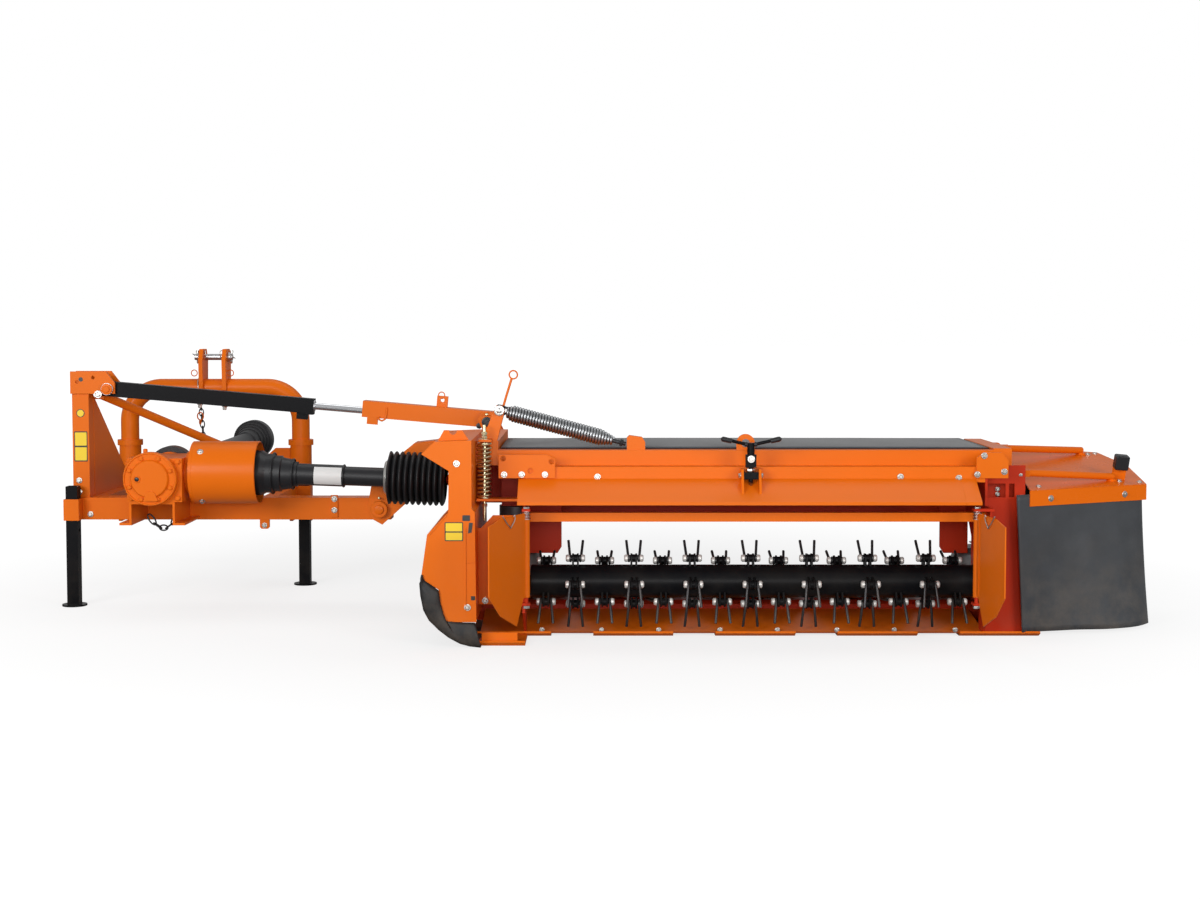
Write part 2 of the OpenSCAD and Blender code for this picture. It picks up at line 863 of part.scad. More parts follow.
bar_low = 8;
module cutter_bar() {
    color(deep_red)
        difference() {
            union() {
                plate_yz([
                    [disc_y - 108, 40], [disc_y - 90, bar_low], [disc_y + 70, bar_low],
                    [disc_y + 106, 32], [disc_y + 116, 52], [disc_y + 92, bar_z], [disc_y - 92, bar_z],
                    [disc_y - 108, bar_z - 12],
                ], bar_left, bar_right - bar_left);
                for (i = [0 : discs - 1])
                    translate([disc_x + i * disc_pitch, disc_y, bar_z]) {
                        cylinder(r = 60, h = 22);
                        cylinder(r = 20, h = 50);
                    }
            }
        }
}

skid_w = 262;
module skid_shoes() {
    t = bar_low;
    color(black) {
        for (i = [0 : discs - 1])
            plate_yz([
                [disc_y + 126, 70], [disc_y + 118, 54], [disc_y + 107, 32], [disc_y + 70, t],
                [rotor_y + 2, t], [rotor_y - 18, t + 10], [rotor_y - 23, t + 4], [rotor_y, 0],
                [disc_y + 73, 0], [disc_y + 113, 27], [disc_y + 125, 50], [disc_y + 134, 68],
            ], disc_x + i * disc_pitch - skid_w / 2, skid_w);
        // The inner shoe reaches further back
        plate_yz([
            [rotor_y + 6, 0], [rotor_y + 6, t], [rotor_y - 168, t], [rotor_y - 180, t + 9],
            [rotor_y - 186, t + 4], [rotor_y - 173, 0],
        ], disc_x - 101, 154);
    }
}

// Height of the rear plate's top at a place along y
plate_y0 = disc_y - 108;
function rear_top(y) = 50 - 34 * (plate_y0 - y) / (plate_y0 - rotor_y + 12);

module rear_plate() {
    color(orange) {
        plate_yz([
            [plate_y0, 40], [plate_y0, rear_top(plate_y0)], [rotor_y - 12, rear_top(rotor_y - 12)],
            [rotor_y + 2, bar_low], [rotor_y + 30, bar_low], [plate_y0 - 20, 40],
        ], bar_left + 100, plate_right + 10 - bar_left - 100);
        block([disc_x - 86, rotor_y - 165, bar_low], [disc_x + 28, rotor_y - 155, bar_low + 33]);
    }
}

module disc(i) {
    lift = bar_z + 22 + slip;
    turn = i % 2 == 0 ? 0 : 90;
    crown = 34;
    cone_h = 142;
    color(dark_grey)
        translate([disc_x + i * disc_pitch, disc_y, lift])
            rotate([0, 0, turn + 25])
                difference() {
                    union() {
                        rotate_extrude()
                            polygon([
                                [0, 0], [disc_d / 2 - 12, 0], [disc_d / 2, 4], [disc_d / 2, 9],
                                [disc_d / 2 - 30, 16], [90, 24], [74, crown], [0, crown],
                            ]);
                        for (side = [-1, 1])
                            translate([side * (disc_d / 2 - 27), 0, -8])
                                cylinder(r = 12, h = 8);
                        for (side = [-1, 1])
                            translate([side > 0 ? disc_d / 2 - 42 : -cut_d / 2, -22, -14])
                                cube([cut_d / 2 - disc_d / 2 + 42, 44, 6]);
                        // The outermost discs carry a cone that leads the crop inwards
                        if (i == 0 || i == discs - 1)
                            rotate_extrude()
                                polygon([
                                    [0, 10], [172, 10], [168, 18], [100, 84], [78, cone_h], [64, cone_h + 8],
                                    [0, cone_h + 8],
                                ]);
                        if (i == 0)
                            cylinder(r = 58, h = drive_z - 93 - lift - clear - 1);
                    }
                    translate([0, 0, -1])
                        cylinder(r = 20 + running, h = 30);
                }
}

// Conditioner

// Tine groups as [angle around the rotor], for odd rows and for even rows
long_row = [0, 90, 180, 270];
short_row = [125, 305];

module tine_group() {
    // Bracket, bolt with its two bushings, and the fork of two tines
    translate([-14, -9, rotor_d / 2 - 4])
        cube([28, 18, 32]);
    translate([-22, 0, 75])
        rotate([0, 90, 0])
            cylinder(d = 22, h = 44, $fn = 8);
    for (side = [-1, 1])
        translate([side * 17, 0, 75])
            rotate([0, side * 4, 0])
                cylinder(d = tine_d, h = tine_r - 75 - 1, $fn = 6);
}

module rotor() {
    span = (tine_rows - 1) * tine_pitch;
    color(black)
        translate([rotor_x0, rotor_y, rotor_z]) {
            rotate([0, 90, 0])
                translate([0, 0, -50])
                    cylinder(d = rotor_d, h = span + 120);
            rod_x(40, -65 - 8, span + 85 + 8, 0, 0);
            for (i = [0 : tine_rows - 1])
                for (a = i % 2 == 1 ? long_row : short_row)
                    translate([i * tine_pitch, 0, 0])
                        rotate([90 - a, 0, 0])
                            tine_group();
        }
}

// Height of the swath deflectors' hinge lugs
lug_low = 124;
lug_high = 426;

module side_plates() {
    y_foot = rotor_y + 24;
    y_disc = disc_y - disc_d / 2 - 7;
    y_case = disc_y - 97;
    y_rear = deflector_y + 16;
    half = deflector_pin_d / 2 + 6;
    roof = rail_low - 4;
    window_top = rail_low - 60;
    color(deep_red) {
        for (x = [plate_left - 8, plate_right])
            difference() {
                plate_yz([
                    [y_foot, 102], [y_foot, rear_top(y_foot)], [rotor_y - 12, rear_top(rotor_y - 12)],
                    [y_rear, 96], [y_rear, lug_high + 8], [beam_rear_face, lug_high + 8],
                    [beam_rear_face, rail_low], [hood_front - 50, rail_low], [hood_front - 50, 512],
                    [y_case, 512], [y_case, 410], [y_disc, 310], [y_disc, 102],
                ], x, 8);
                rod_x(40 + 2 * running, x - 5, x + 15, rotor_y, rotor_z);
            }
        // Lugs and pins of the swath deflectors
        for (z = [lug_low, lug_high]) {
            block([plate_left - 8, deflector_y - half, z], [deflector_x[0] + half, y_rear + 4, z + 8]);
            block([deflector_x[1] - half, deflector_y - half, z], [plate_right + 8, y_rear + 4, z + 8]);
        }
        for (x = deflector_x)
            translate([x, deflector_y, lug_low])
                cylinder(d = deflector_pin_d, h = lug_high - lug_low + 12);
        // Sheets that lead the crop in from both ends
        plate_xz([
            [plate_left - 8, 512], [plate_left - 8, 240], [plate_left + 96, 240], [plate_left + 110, 262],
            [plate_left + 110, 512],
        ], y_case - 5, 5);
        plate_xz([
            [plate_right + 8, 512], [plate_right - 88, 512], [plate_right - 88, 262], [plate_right - 74, 240],
            [plate_right + 8, 240],
        ], y_case - 5, 5);
        // Outer end wall with two windows under the guard's hinge, and the sheet behind them
        x0 = plate_right + 8;
        x1 = x0 + 137;
        difference() {
            plate_xz([
                [x0, rail_low], [x0, 431], [x0 + 3, 431], [x0 + 3, bar_low], [x1, bar_low], [x1, rail_low],
            ], rotor_y + 10, 6);
            block([x0 + 12, rotor_y, 455], [x0 + 72, rotor_y + 20, window_top]);
            block([x0 + 84, rotor_y, 455], [x0 + 102, rotor_y + 20, window_top]);
        }
        plate_xz([[x0, 431], [x1, 431], [x1, window_top], [x0, window_top]], rotor_y + 46, 4);
        // Roof and front wall between the two ends
        plate_yz([
            [rotor_y + 20, rail_low], [rotor_y + 20, roof], [hood_front - 54, roof], [hood_front - 54, 335],
            [hood_front - 50, 335], [hood_front - 50, roof], [hood_front - 10, roof],
            [hood_front - 10, rail_low],
        ], plate_left, plate_right - plate_left);
    }
}

module along_guard_hinge() {
    translate(guard_hinge)
        rotate([guard_hinge_tilt, 0, 0])
            children();
}

module hood_frame() {
    half = rail_s / 2;
    left = rail_x + half;
    top = rail_low + 50;
    middle = (plate_left + plate_right) / 2;
    color(orange) {
        // Beams round the top of the conditioner
        block([left, rotor_y + 10, rail_low], [hood_end, rotor_y + 60, top]);
        block([left, hood_front - 50, rail_low], [hood_end, hood_front, top]);
        block([hood_end - 60, rotor_y + 60, rail_low], [hood_end, hood_front - 50, top]);
        block([plate_left, beam_rear_face, rail_low - 50], [plate_right, rotor_y + 20, rail_low]);
        block([hood_end - 60, rotor_y + 10, top], [hood_end, hood_front - 50, top + 6]);
        // Lower lip between the side plates
        block([plate_left, rotor_y - 60, 383], [plate_right, rotor_y - 35, 412]);
        // Bolted brackets at both ends of the rear beam
        difference() {
            plate_xz([
                [left + 5, 524], [plate_left + 96, 524], [plate_left + 96, 585], [plate_left + 70, 600],
                [left + 5, 600],
            ], beam_rear_face - 8, 8);
            for (hole = [[left + 20, 588], [plate_left + 84, 578], [plate_left + 16, 548]])
                rod_y(18, beam_rear_face - 20, beam_rear_face + 5, hole[0], hole[1]);
        }
        plate_xz([
            [plate_right - 30, 524], [plate_right + 73, 524], [plate_right + 73, 582],
            [plate_right + 52, 607], [plate_right - 5, 607], [plate_right - 30, 590],
        ], beam_rear_face - 8, 8);
        // Shelf under the upright spring
        difference() {
            block([spring_x - 24, beam_rear_face, shelf_z - 8], [plate_left - 8, rotor_y + 8, shelf_z]);
            translate([spring_x, spring_y, shelf_z - 20])
                cylinder(d = 11 + 2 * slip, h = 40);
        }
        // Lifting eye and the lug of the long spring, on the rear beam
        difference() {
            union() {
                rod_y(60, rotor_y + 20, rotor_y + 32, middle - 26, top + 22);
                block([middle - 56, rotor_y + 20, top], [middle + 4, rotor_y + 32, top + 22]);
            }
            rod_y(27, rotor_y + 10, rotor_y + 40, middle - 26, top + 22);
        }
        plate_xz([
            [lug_x, top], [lug_x + 60, top], [lug_x + 60, top + 26], [lug_x + 50, top + 42],
            [lug_x + 8, top + 48], [lug_x, top + 40],
        ], long_spring_y - 15, 30);
    }
    // Two clevises with the bolts of the guard's hinge
    color(orange)
        block([hood_end - 24, rotor_y + 16, rail_low - 56], [hood_end + 10, rotor_y + 70, rail_low]);
    color(orange)
        along_guard_hinge()
            for (y = [0, guard_bolt_gap]) {
                for (side = [-1, 1])
                    translate([0, y + (side > 0 ? 12 : -20), 0]) {
                        block([-30, 0, -16], [0, 8, 16]);
                        rotate([-90, 0, 0])
                            cylinder(r = 16, h = 8);
                    }
                translate([0, y - 26, 0])
                    rotate([-90, 0, 0])
                        cylinder(d = guard_pin_d, h = 52);
            }
}

module top_canvas() {
    left = rail_x + rail_s / 2 + 5;
    right = hood_end - 65;
    top = rail_low + 50;
    color(dark_grey) {
        block([left, rotor_y + 60, top], [right, hood_front + cloth, top + cloth]);
        block([left + 75, hood_front, 325], [right, hood_front + cloth, top + cloth]);
    }
}

module swath_board() {
    x0 = plate_left - 23;
    middle = (plate_left + plate_right) / 2 - 17;
    color(orange) {
        plate_yz([
            [beam_rear_face, 522], [rotor_y - 152, 456], [rotor_y - 152, 446], [rotor_y - 148, 446],
            [rotor_y - 148, 452], [beam_rear_face, 515],
        ], x0, plate_right - 80 - x0);
        // Cheeks that hold the nut of the crank's screw
        for (x = [middle - 24 - slip - 8, middle + 24 + slip])
            plate_yz([
                [beam_rear_face - 2, 519], [beam_rear_face - 2, 556], [rotor_y - 92, 556],
                [rotor_y - 118, 476],
            ], x, 8);
    }
}

// Outline of the inner cover seen from behind, counterclockwise
cover_outline = [
    [1132, 80], [1128, 430], [1118, 440], [1118, hood_z + 56], [1102, hood_z + 56], [1001, hood_z + 52],
    [960, hood_z + 13], [1046, hood_z - 40], [1044, 428], [977, 358], [958, 226], [969, 212], [1013, 183],
    [1017, 144], [1032, 80],
];
cover_rear = rotor_y - 200;
cover_front = rotor_y + 360;

module inner_cover() {
    half = rail_s / 2;
    color(orange)
        difference() {
            union() {
                difference() {
                    plate_xz(cover_outline, cover_rear, cover_front - cover_rear);
                    plate_xz(inset(cover_outline, sheet), cover_rear + sheet, cover_front - cover_rear);
                    block([1000, cover_rear + sheet, 60], [1150, cover_front + 5, 80 + sheet + 1]);
                }
                // Flat wing behind the spring, and the eye on the crown
                plate_xz([[1126, 118], [1266, 118], [1266, 407], [1178, 407], [1140, 366], [1126, 366]],
                    rotor_y - 86, sheet);
                plate_xz([
                    [1008, hood_z + 50], [1028, hood_z + 86], [1086, hood_z + 86], [1108, hood_z + 54],
                ], cover_rear + 40, 10);
            }
            block([rail_x - half, rotor_y + 10, rail_low], [rail_x + half, cover_front + 5, rail_high]);
            block([1000, disc_y - cut_d / 2 + 10, 60], [1150, cover_front + 5, 260]);
            rod_y(24, cover_rear, cover_rear + 80, 1057, hood_z + 84);
        }
}

module inner_skirt() {
    color(black)
        plate_xz([
            [958, 226], [969, 212], [1013, 183], [1017, 144], [1032, 80], [1132, 80], [1149, 4], [1105, 6],
            [1014, 58], [967, 121], [957, 203],
        ], cover_rear, cloth + 2);
}

module crank() {
    x = (plate_left + plate_right) / 2 - 17;
    y = rotor_y - 73;
    color(black) {
        translate([x, y, 514])
            cylinder(d = 14, h = 120);
        block([x - 24, y - 14, 523], [x + 24, y + 14, 545]);
        block([x - 17, y - 12, rail_low], [x + 17, y + 12, rail_low + 42]);
        translate([x, y, hood_z])
            cylinder(d = 24, h = 40);
        for (side = [-1, 1])
            tube_between([x, y, hood_z + 32], [x + side * 84, y - 10, hood_z + 52], 11);
    }
}

module tube_between(from, to, d) {
    run = to - from;
    translate(from)
        rotate([0, acos(run[2] / norm(run)), atan2(run[1], run[0])])
            cylinder(d = d, h = norm(run));
}

module float_springs() {
    top = rail_low + 50;
    fall = atan2(anchor[1] - top - 18, lug_x - anchor[0]);
    long = norm([anchor[1] - top - 18, lug_x - anchor[0]]);
    color(zinc) {
        translate([spring_x, spring_y, shelf_z])
            cylinder(d = spring_d, h = rail_high - shelf_z);
        translate([spring_x, spring_y, shelf_z - 74])
            cylinder(d = 11, h = rail_high - shelf_z + 132);
        translate([anchor[0], long_spring_y, anchor[1]])
            rotate([0, fall, 0])
                difference() {
                    union() {
                        translate([0, -10, 0])
                            rotate([-90, 0, 0])
                                cylinder(r = 16, h = 20);
                        rod_x(14, 10, long - 4, 0, 0);
                        rod_x(long_spring_d, 34, long - 46, 0, 0);
                    }
                    translate([0, -20, 0])
                        rotate([-90, 0, 0])
                            cylinder(d = anchor_d + 2 * slip, h = 40);
                }
    }
}

// Outer guard

module guard_frame() {
    translate(guard_corner)
        rotate([guard_a, guard_b, 0])
            children();
}

// Places of the two arms' feet on the panel, and of the arms' bolts along the hinge
arm_feet = [[329, 232, 0], [309, 568, guard_bolt_gap]];
strip_turn = 25.7;
strip_len = 500;

module outer_guard() {
    neck = 30;
    color(orange) {
        guard_frame()
            linear_extrude(sheet)
                polygon([
                    [0, 0], [guard_w, guard_side[0]], [guard_w, guard_side[1]],
                    [guard_w - 65, guard_front[1]], [20, guard_front[0]],
                ]);
        translate(guard_corner)
            rotate([0, 0, strip_turn])
                block([0, 0, -48], [strip_len - 4, sheet, 2]);
        for (arm = arm_feet) {
            guard_frame()
                translate([arm[0], arm[1], 2])
                    cylinder(r = 17, h = 9);
            along_guard_hinge()
                translate([0, arm[2], 0])
                    difference() {
                        union() {
                            translate([0, -12 + slip, 0])
                                rotate([-90, 0, 0])
                                    cylinder(r = 15, h = 24 - 2 * slip);
                            block([0, -12 + slip, -11], [neck + 6, 12 - slip, 11]);
                        }
                        translate([0, -20, 0])
                            rotate([-90, 0, 0])
                                cylinder(d = guard_pin_d + 2 * running, h = 40);
                    }
            tube_between(
                guard_hinge + [neck, arm[2] * cos(guard_hinge_tilt), arm[2] * sin(guard_hinge_tilt)],
                guard_point(arm[0], arm[1], 17), guard_arm_d);
        }
        // Tab of the lamp block
        guard_frame()
            block([334, 254, 2], [380, 259, 48]);
    }
}

// Lower edge of the guard's curtains above the ground
curtain_z = 22;

module outer_curtain() {
    low = curtain_z - guard_corner[2];
    side_rear = guard_point(guard_w, guard_side[0], 0);
    side_front = guard_point(guard_w, guard_side[1], 0);
    corner = guard_point(guard_w - 65, guard_front[1], 0);
    front = guard_point(20, guard_front[0], 0);
    color(dark_grey) {
        translate(guard_corner)
            rotate([0, 0, strip_turn])
                block([-50, sheet, low], [strip_len - 16, sheet + cloth, -8]);
        curtain_between(side_rear + [-12, 12, 0], side_front + [-12, -6, 0]);
        curtain_between(side_front + [-13, 0, 0], corner + [-9, -9, 0]);
        curtain_between(corner + [-16, -9, 0], front + [6, -9, 0]);
    }
}

// An upright curtain that reaches up to the panel along a line between two points
module curtain_between(a, b) {
    run = b - a;
    span = norm([run[0], run[1]]);
    out = [-run[1], run[0]] / span * cloth;
    tops = [for (p = [a, b]) min(panel_z(p[0], p[1]), panel_z(p[0] + out[0], p[1] + out[1])) - slip];
    translate([a[0], a[1], 0])
        rotate([0, 0, atan2(run[1], run[0])])
            translate([0, cloth, 0])
                plate_xz([[0, curtain_z], [span, curtain_z], [span, tops[1]], [0, tops[0]]], -cloth, cloth);
}

// Swath deflectors

deflector_y = rotor_y - hinge_back;

module deflector(x, turn) {
    l = deflector_len;
    low = lug_low + 26;
    top = lug_high - 5;
    tube_top = lug_high - 26;
    color(orange)
        translate([x, deflector_y, 0])
            rotate([0, 0, turn])
                difference() {
                    union() {
                        translate([0, sheet / 2, 0])
                            rotate([90, 0, 0])
                                linear_extrude(sheet)
                                    polygon([
                                        [6, low], [26, low], [0.28 * l, 68], [0.7 * l, 117], [l, 188],
                                        [l, 405], [0.68 * l, top], [14, top], [14, tube_top],
                                        [6, tube_top],
                                    ]);
                        translate([0, 0, low])
                            cylinder(d = deflector_pin_d + 10, h = tube_top - low);
                    }
                    translate([0, 0, 100])
                        cylinder(d = deflector_pin_d + 2 * running, h = 400);
                }
}

module deflector_left() {
    deflector(deflector_x[0], -90 - splay[0]);
}

module deflector_right() {
    deflector(deflector_x[1], -90 + splay[1]);
}

place() mast_arch();
place() arch_sockets();
place() lower_brackets();
place() lower_link_pins();
place() top_link_ears();
place() top_link_pin();
place() side_arms();
place() main_beam();
place() beam_post();
place() gusset_plates();
place() diagonal_brace();
place() stand_sleeves();
place() gearbox_seat();
place() gearbox();
place() drive_guard();
place() input_shaft();
place() hinge_pins();
place() stand(left_stand);  // stand_left
place() stand(right_stand);  // stand_right
place() lift_barrel();
place() lift_rod();
place() lift_channel();
place() drive_tube_outer();
place() drive_tube_inner();
place() drive_bellows();
place() swing_arm();
place() headstock();
place() head_gearbox();
place() cutter_bar();
place() skid_shoes();
place() rear_plate();
place() side_plates();
place() hood_frame();
place() top_canvas();
place() swath_board();
place() inner_cover();
place() inner_skirt();
place() crank();
place() float_springs();
place() disc(0);  // disc_1
place() disc(1);  // disc_2
place() disc(2);  // disc_3
place() disc(3);  // disc_4
place() disc(4);  // disc_5
place() rotor();
place() outer_guard();
place() outer_curtain();
place() deflector_left();
place() deflector_right();
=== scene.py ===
import json
import math

import bpy
import numpy as np
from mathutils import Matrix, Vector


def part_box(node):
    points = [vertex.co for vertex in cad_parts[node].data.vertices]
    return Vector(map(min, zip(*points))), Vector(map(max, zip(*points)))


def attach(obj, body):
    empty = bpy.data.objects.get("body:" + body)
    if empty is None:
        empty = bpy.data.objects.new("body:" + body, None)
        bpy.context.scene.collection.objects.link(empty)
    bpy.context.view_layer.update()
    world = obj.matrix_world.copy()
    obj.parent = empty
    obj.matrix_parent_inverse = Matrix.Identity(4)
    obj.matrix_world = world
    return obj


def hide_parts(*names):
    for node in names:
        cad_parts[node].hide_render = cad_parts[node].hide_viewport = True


# The room: a pale floor that runs out to white, soft lamps to the left and right and near the
# camera, and one above the mower. ACROSS and ALONG are the place of the hitch pins' middle, in metres.
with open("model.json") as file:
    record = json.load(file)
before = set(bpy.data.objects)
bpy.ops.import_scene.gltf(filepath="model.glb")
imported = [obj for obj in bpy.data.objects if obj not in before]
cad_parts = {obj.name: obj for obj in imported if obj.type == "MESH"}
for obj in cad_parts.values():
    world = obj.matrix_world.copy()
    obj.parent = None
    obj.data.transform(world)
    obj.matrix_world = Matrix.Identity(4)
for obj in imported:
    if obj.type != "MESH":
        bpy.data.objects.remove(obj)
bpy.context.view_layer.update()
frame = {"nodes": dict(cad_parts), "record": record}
ACROSS, ALONG = -1.438823, 0.473810


def put(tree, kind, settings=None, **inputs):
    """Adds one shader node; an input that is another node's output is linked, any other is set."""
    made = tree.nodes.new("ShaderNode" + kind)
    for key, value in (settings or {}).items():
        setattr(made, key, value)
    for key, value in inputs.items():
        numbered = key[0] == "i" and key[1:].isdigit()
        socket = made.inputs[int(key[1:]) if numbered else key.replace("_", " ")]
        if isinstance(value, bpy.types.NodeSocket):
            tree.links.new(value, socket)
        else:
            socket.default_value = value
    return made


def calc(tree, operation, *values):
    """The output of one arithmetic node, with its values in their order."""
    inputs = {f"i{n}": value for n, value in enumerate(values)}
    return put(tree, "Math", {"operation": operation}, **inputs).outputs[0]


def lamp(name, at, towards, wide, high, watts):
    """A soft rectangular lamp that faces a point."""
    light = bpy.data.lights.new(name, "AREA")
    light.shape = "RECTANGLE"
    light.size, light.size_y, light.energy = wide, high, watts
    holder = bpy.data.objects.new(name, light)
    bpy.context.scene.collection.objects.link(holder)
    holder.location = at
    aim = np.array(towards, float) - np.array(at, float)
    tilt = math.acos(-aim[2] / np.linalg.norm(aim))
    holder.rotation_euler = (tilt, 0, math.atan2(aim[1], aim[0]) - math.pi / 2)
    return holder


camera = bpy.data.objects.new("camera", bpy.data.cameras.new("camera"))
bpy.context.scene.collection.objects.link(camera)
camera_x, camera_back, camera_height = 1.523, 6.8, 1.035
camera.location = (camera_x + ACROSS, -camera_back + ALONG, camera_height)
camera.rotation_euler = (math.radians(87), 0, 0)
camera.data.lens, camera.data.sensor_width, camera.data.shift_y = 51.6, 36, -0.0328
camera.data.clip_end = 200
bpy.context.scene.camera = camera
bpy.context.scene.view_settings.view_transform = "Standard"

lamp("lamp_left", (-3.8, -5.6, 2.3), (-0.3, 0, 0.4), 2.6, 2.4, 205)
lamp("lamp_right", (4.2, -5.0, 1.9), (0.6, 0, 0.4), 2.2, 2.2, 118)
lamp("lamp_above", (0.3, 0.9, 4.4), (0.2, 0.1, 0.2), 4.5, 2.0, 40)
lamp("lamp_low", (0.1, -6.2, 1.0), (0.1, 0, 0.35), 2.6, 1.2, 84)

sky = bpy.data.worlds.new("sky")
bpy.context.scene.world = sky
sky.use_nodes = True
sky.node_tree.nodes.clear()
rays = put(sky.node_tree, "LightPath").outputs
seen = calc(sky.node_tree, "MAXIMUM", rays["Is Camera Ray"], rays["Is Transmission Ray"])
mirrored = calc(sky.node_tree, "MULTIPLY", rays["Is Glossy Ray"], 0.36)
all_seen = calc(sky.node_tree, "MAXIMUM", seen, mirrored)
bright = put(sky.node_tree, "MapRange", Value=all_seen, To_Min=0.24, To_Max=1.0)
sky_light = put(sky.node_tree, "Background", Color=(1, 1, 1, 1), Strength=bright.outputs[0])
put(sky.node_tree, "OutputWorld", Surface=sky_light.outputs[0])

floor_mesh = bpy.data.meshes.new("floor")
reach = 40
floor_corners = [(-reach, -reach, 0), (reach, -reach, 0), (reach, 1.5 * reach, 0), (-reach, 1.5 * reach, 0)]
floor_mesh.from_pydata(floor_corners, [], [(0, 1, 2, 3)])
floor = bpy.data.objects.new("floor", floor_mesh)
bpy.context.scene.collection.objects.link(floor)
floor_paint = bpy.data.materials.new("floor_paint")
floor_paint.use_nodes = True
floor_tree = floor_paint.node_tree
floor_tree.nodes.clear()
by_camera = put(floor_tree, "LightPath").outputs["Is Camera Ray"]
floor_shade = put(floor_tree, "MapRange", Value=by_camera, To_Min=0.42, To_Max=0.95)
floor_body = put(floor_tree, "BsdfDiffuse", Color=floor_shade.outputs[0])
floor_place = put(floor_tree, "TexCoord").outputs["Object"]
away = put(floor_tree, "VectorMath", {"operation": "LENGTH"}, i0=floor_place).outputs["Value"]
# Between these distances the floor fades from its shaded self to plain white
near, far = 1.3, 3.6
fade = put(floor_tree, "MapRange", Value=away, From_Min=near, From_Max=far, To_Min=0.68, To_Max=1.0)
floor_glow = put(floor_tree, "Emission", Color=(1, 1, 1, 1), Strength=1.08)
whitened = calc(floor_tree, "MULTIPLY", fade.outputs[0], by_camera)
dimmed = put(floor_tree, "MixShader", i0=whitened, i1=floor_body.outputs[0], i2=floor_glow.outputs[0])
put(floor_tree, "OutputMaterial", Surface=dimmed.outputs[0])
floor_mesh.materials.append(floor_paint)

# The painted steelwork: welded tube and plate under a thick coat of orange machine paint, parts
# of it black. The coat has the faint peel of sprayed paint and carries some dust low down.
def effect_group(name, inputs, outputs):
    """An empty shader group with a colour and numbers as its named sockets, and its two end nodes."""
    group = bpy.data.node_groups.new(name, "ShaderNodeTree")
    for label, value in inputs.items():
        kind = "NodeSocketColor" if label == "Color" else "NodeSocketFloat"
        group.interface.new_socket(label, in_out="INPUT", socket_type=kind).default_value = value
    for label in outputs:
        kind = "NodeSocketColor" if label == "Color" else "NodeSocketFloat"
        group.interface.new_socket(label, in_out="OUTPUT", socket_type=kind)
    return group, group.nodes.new("NodeGroupInput"), group.nodes.new("NodeGroupOutput")


# Slow shifts of shade and gloss over a coat, and the fine unevenness of its surface
coat, enter, leave = effect_group(
    "coat_unevenness",
    {"Color": (1, 1, 1, 1), "Shade": 0.05, "Roughness": 0.3, "Grain": 400.0},
    ("Color", "Roughness", "Height"),
)
where = put(coat, "TexCoord")
slow = put(coat, "TexNoise", Vector=where.outputs["Object"], Scale=3.1, Detail=4.0)
fine = put(coat, "TexNoise", Vector=where.outputs["Object"], Scale=enter.outputs["Grain"], Detail=2.0)
centred = calc(coat, "SUBTRACT", slow.outputs["Fac"], 0.5)
swing = calc(coat, "MULTIPLY_ADD", centred, enter.outputs["Shade"], 1.0)
blend = {"data_type": "RGBA", "blend_type": "MULTIPLY"}
tinted = put(coat, "Mix", blend, i0=1.0, i6=enter.outputs["Color"], i7=swing)
gloss = calc(coat, "MULTIPLY_ADD", centred, 0.25, enter.outputs["Roughness"])
coat.links.new(tinted.outputs[2], leave.inputs["Color"])
coat.links.new(gloss, leave.inputs["Roughness"])
coat.links.new(fine.outputs["Fac"], leave.inputs["Height"])

# Dry dust: thickest near the ground, in patches
dust_inputs = {"Color": (1, 1, 1, 1), "Roughness": 0.3, "Amount": 0.2}
dust, enter, leave = effect_group("field_dust", dust_inputs, ("Color", "Roughness"))
where = put(dust, "TexCoord")
split = put(dust, "SeparateXYZ", Vector=where.outputs["Object"])
dusty_up_to = 0.34
low = put(dust, "MapRange", Value=split.outputs["Z"], From_Max=dusty_up_to, To_Min=1.0, To_Max=0.0)
patches = put(dust, "TexNoise", Vector=where.outputs["Object"], Scale=11.0, Detail=6.0, Roughness=0.65)
spread = put(dust, "MapRange", Value=patches.outputs["Fac"], From_Min=0.38, From_Max=0.72)
both = calc(dust, "MULTIPLY", low.outputs[0], spread.outputs[0])
mask = calc(dust, "MULTIPLY", both, enter.outputs["Amount"])
dusted = put(dust, "Mix", {"data_type": "RGBA"}, i0=mask, i6=enter.outputs["Color"], i7=(0.27, 0.21, 0.15, 1))
dry = calc(dust, "MULTIPLY_ADD", mask, 0.5, enter.outputs["Roughness"])
dust.links.new(dusted.outputs[2], leave.inputs["Color"])
dust.links.new(dry, leave.inputs["Roughness"])


def finish(name, color, roughness, shade=0.1, grain=400.0, bump=0.06, dusty=0.25, edge=0.0012, **plain):
    """A solid finish: an uneven coat, dust low down, slightly rounded edges, and plain shader values."""
    made = bpy.data.materials.new(name)
    made.use_nodes = True
    tree = made.node_tree
    tree.nodes.clear()
    paint = {"Color": (*color, 1), "Shade": shade, "Roughness": roughness, "Grain": grain}
    layer = put(tree, "Group", {"node_tree": coat}, **paint).outputs
    top = {"Color": layer["Color"], "Roughness": layer["Roughness"], "Amount": dusty}
    dirt = put(tree, "Group", {"node_tree": dust}, **top).outputs
    soft = put(tree, "Bevel", {"samples": 4}, Radius=edge).outputs[0]
    uneven = put(tree, "Bump", Strength=bump, Distance=0.001, Height=layer["Height"], Normal=soft)
    look = {"Base_Color": dirt["Color"], "Roughness": dirt["Roughness"], "Normal": uneven.outputs[0]}
    body = put(tree, "BsdfPrincipled", **look, **plain)
    put(tree, "OutputMaterial", Surface=body.outputs[0])
    return made


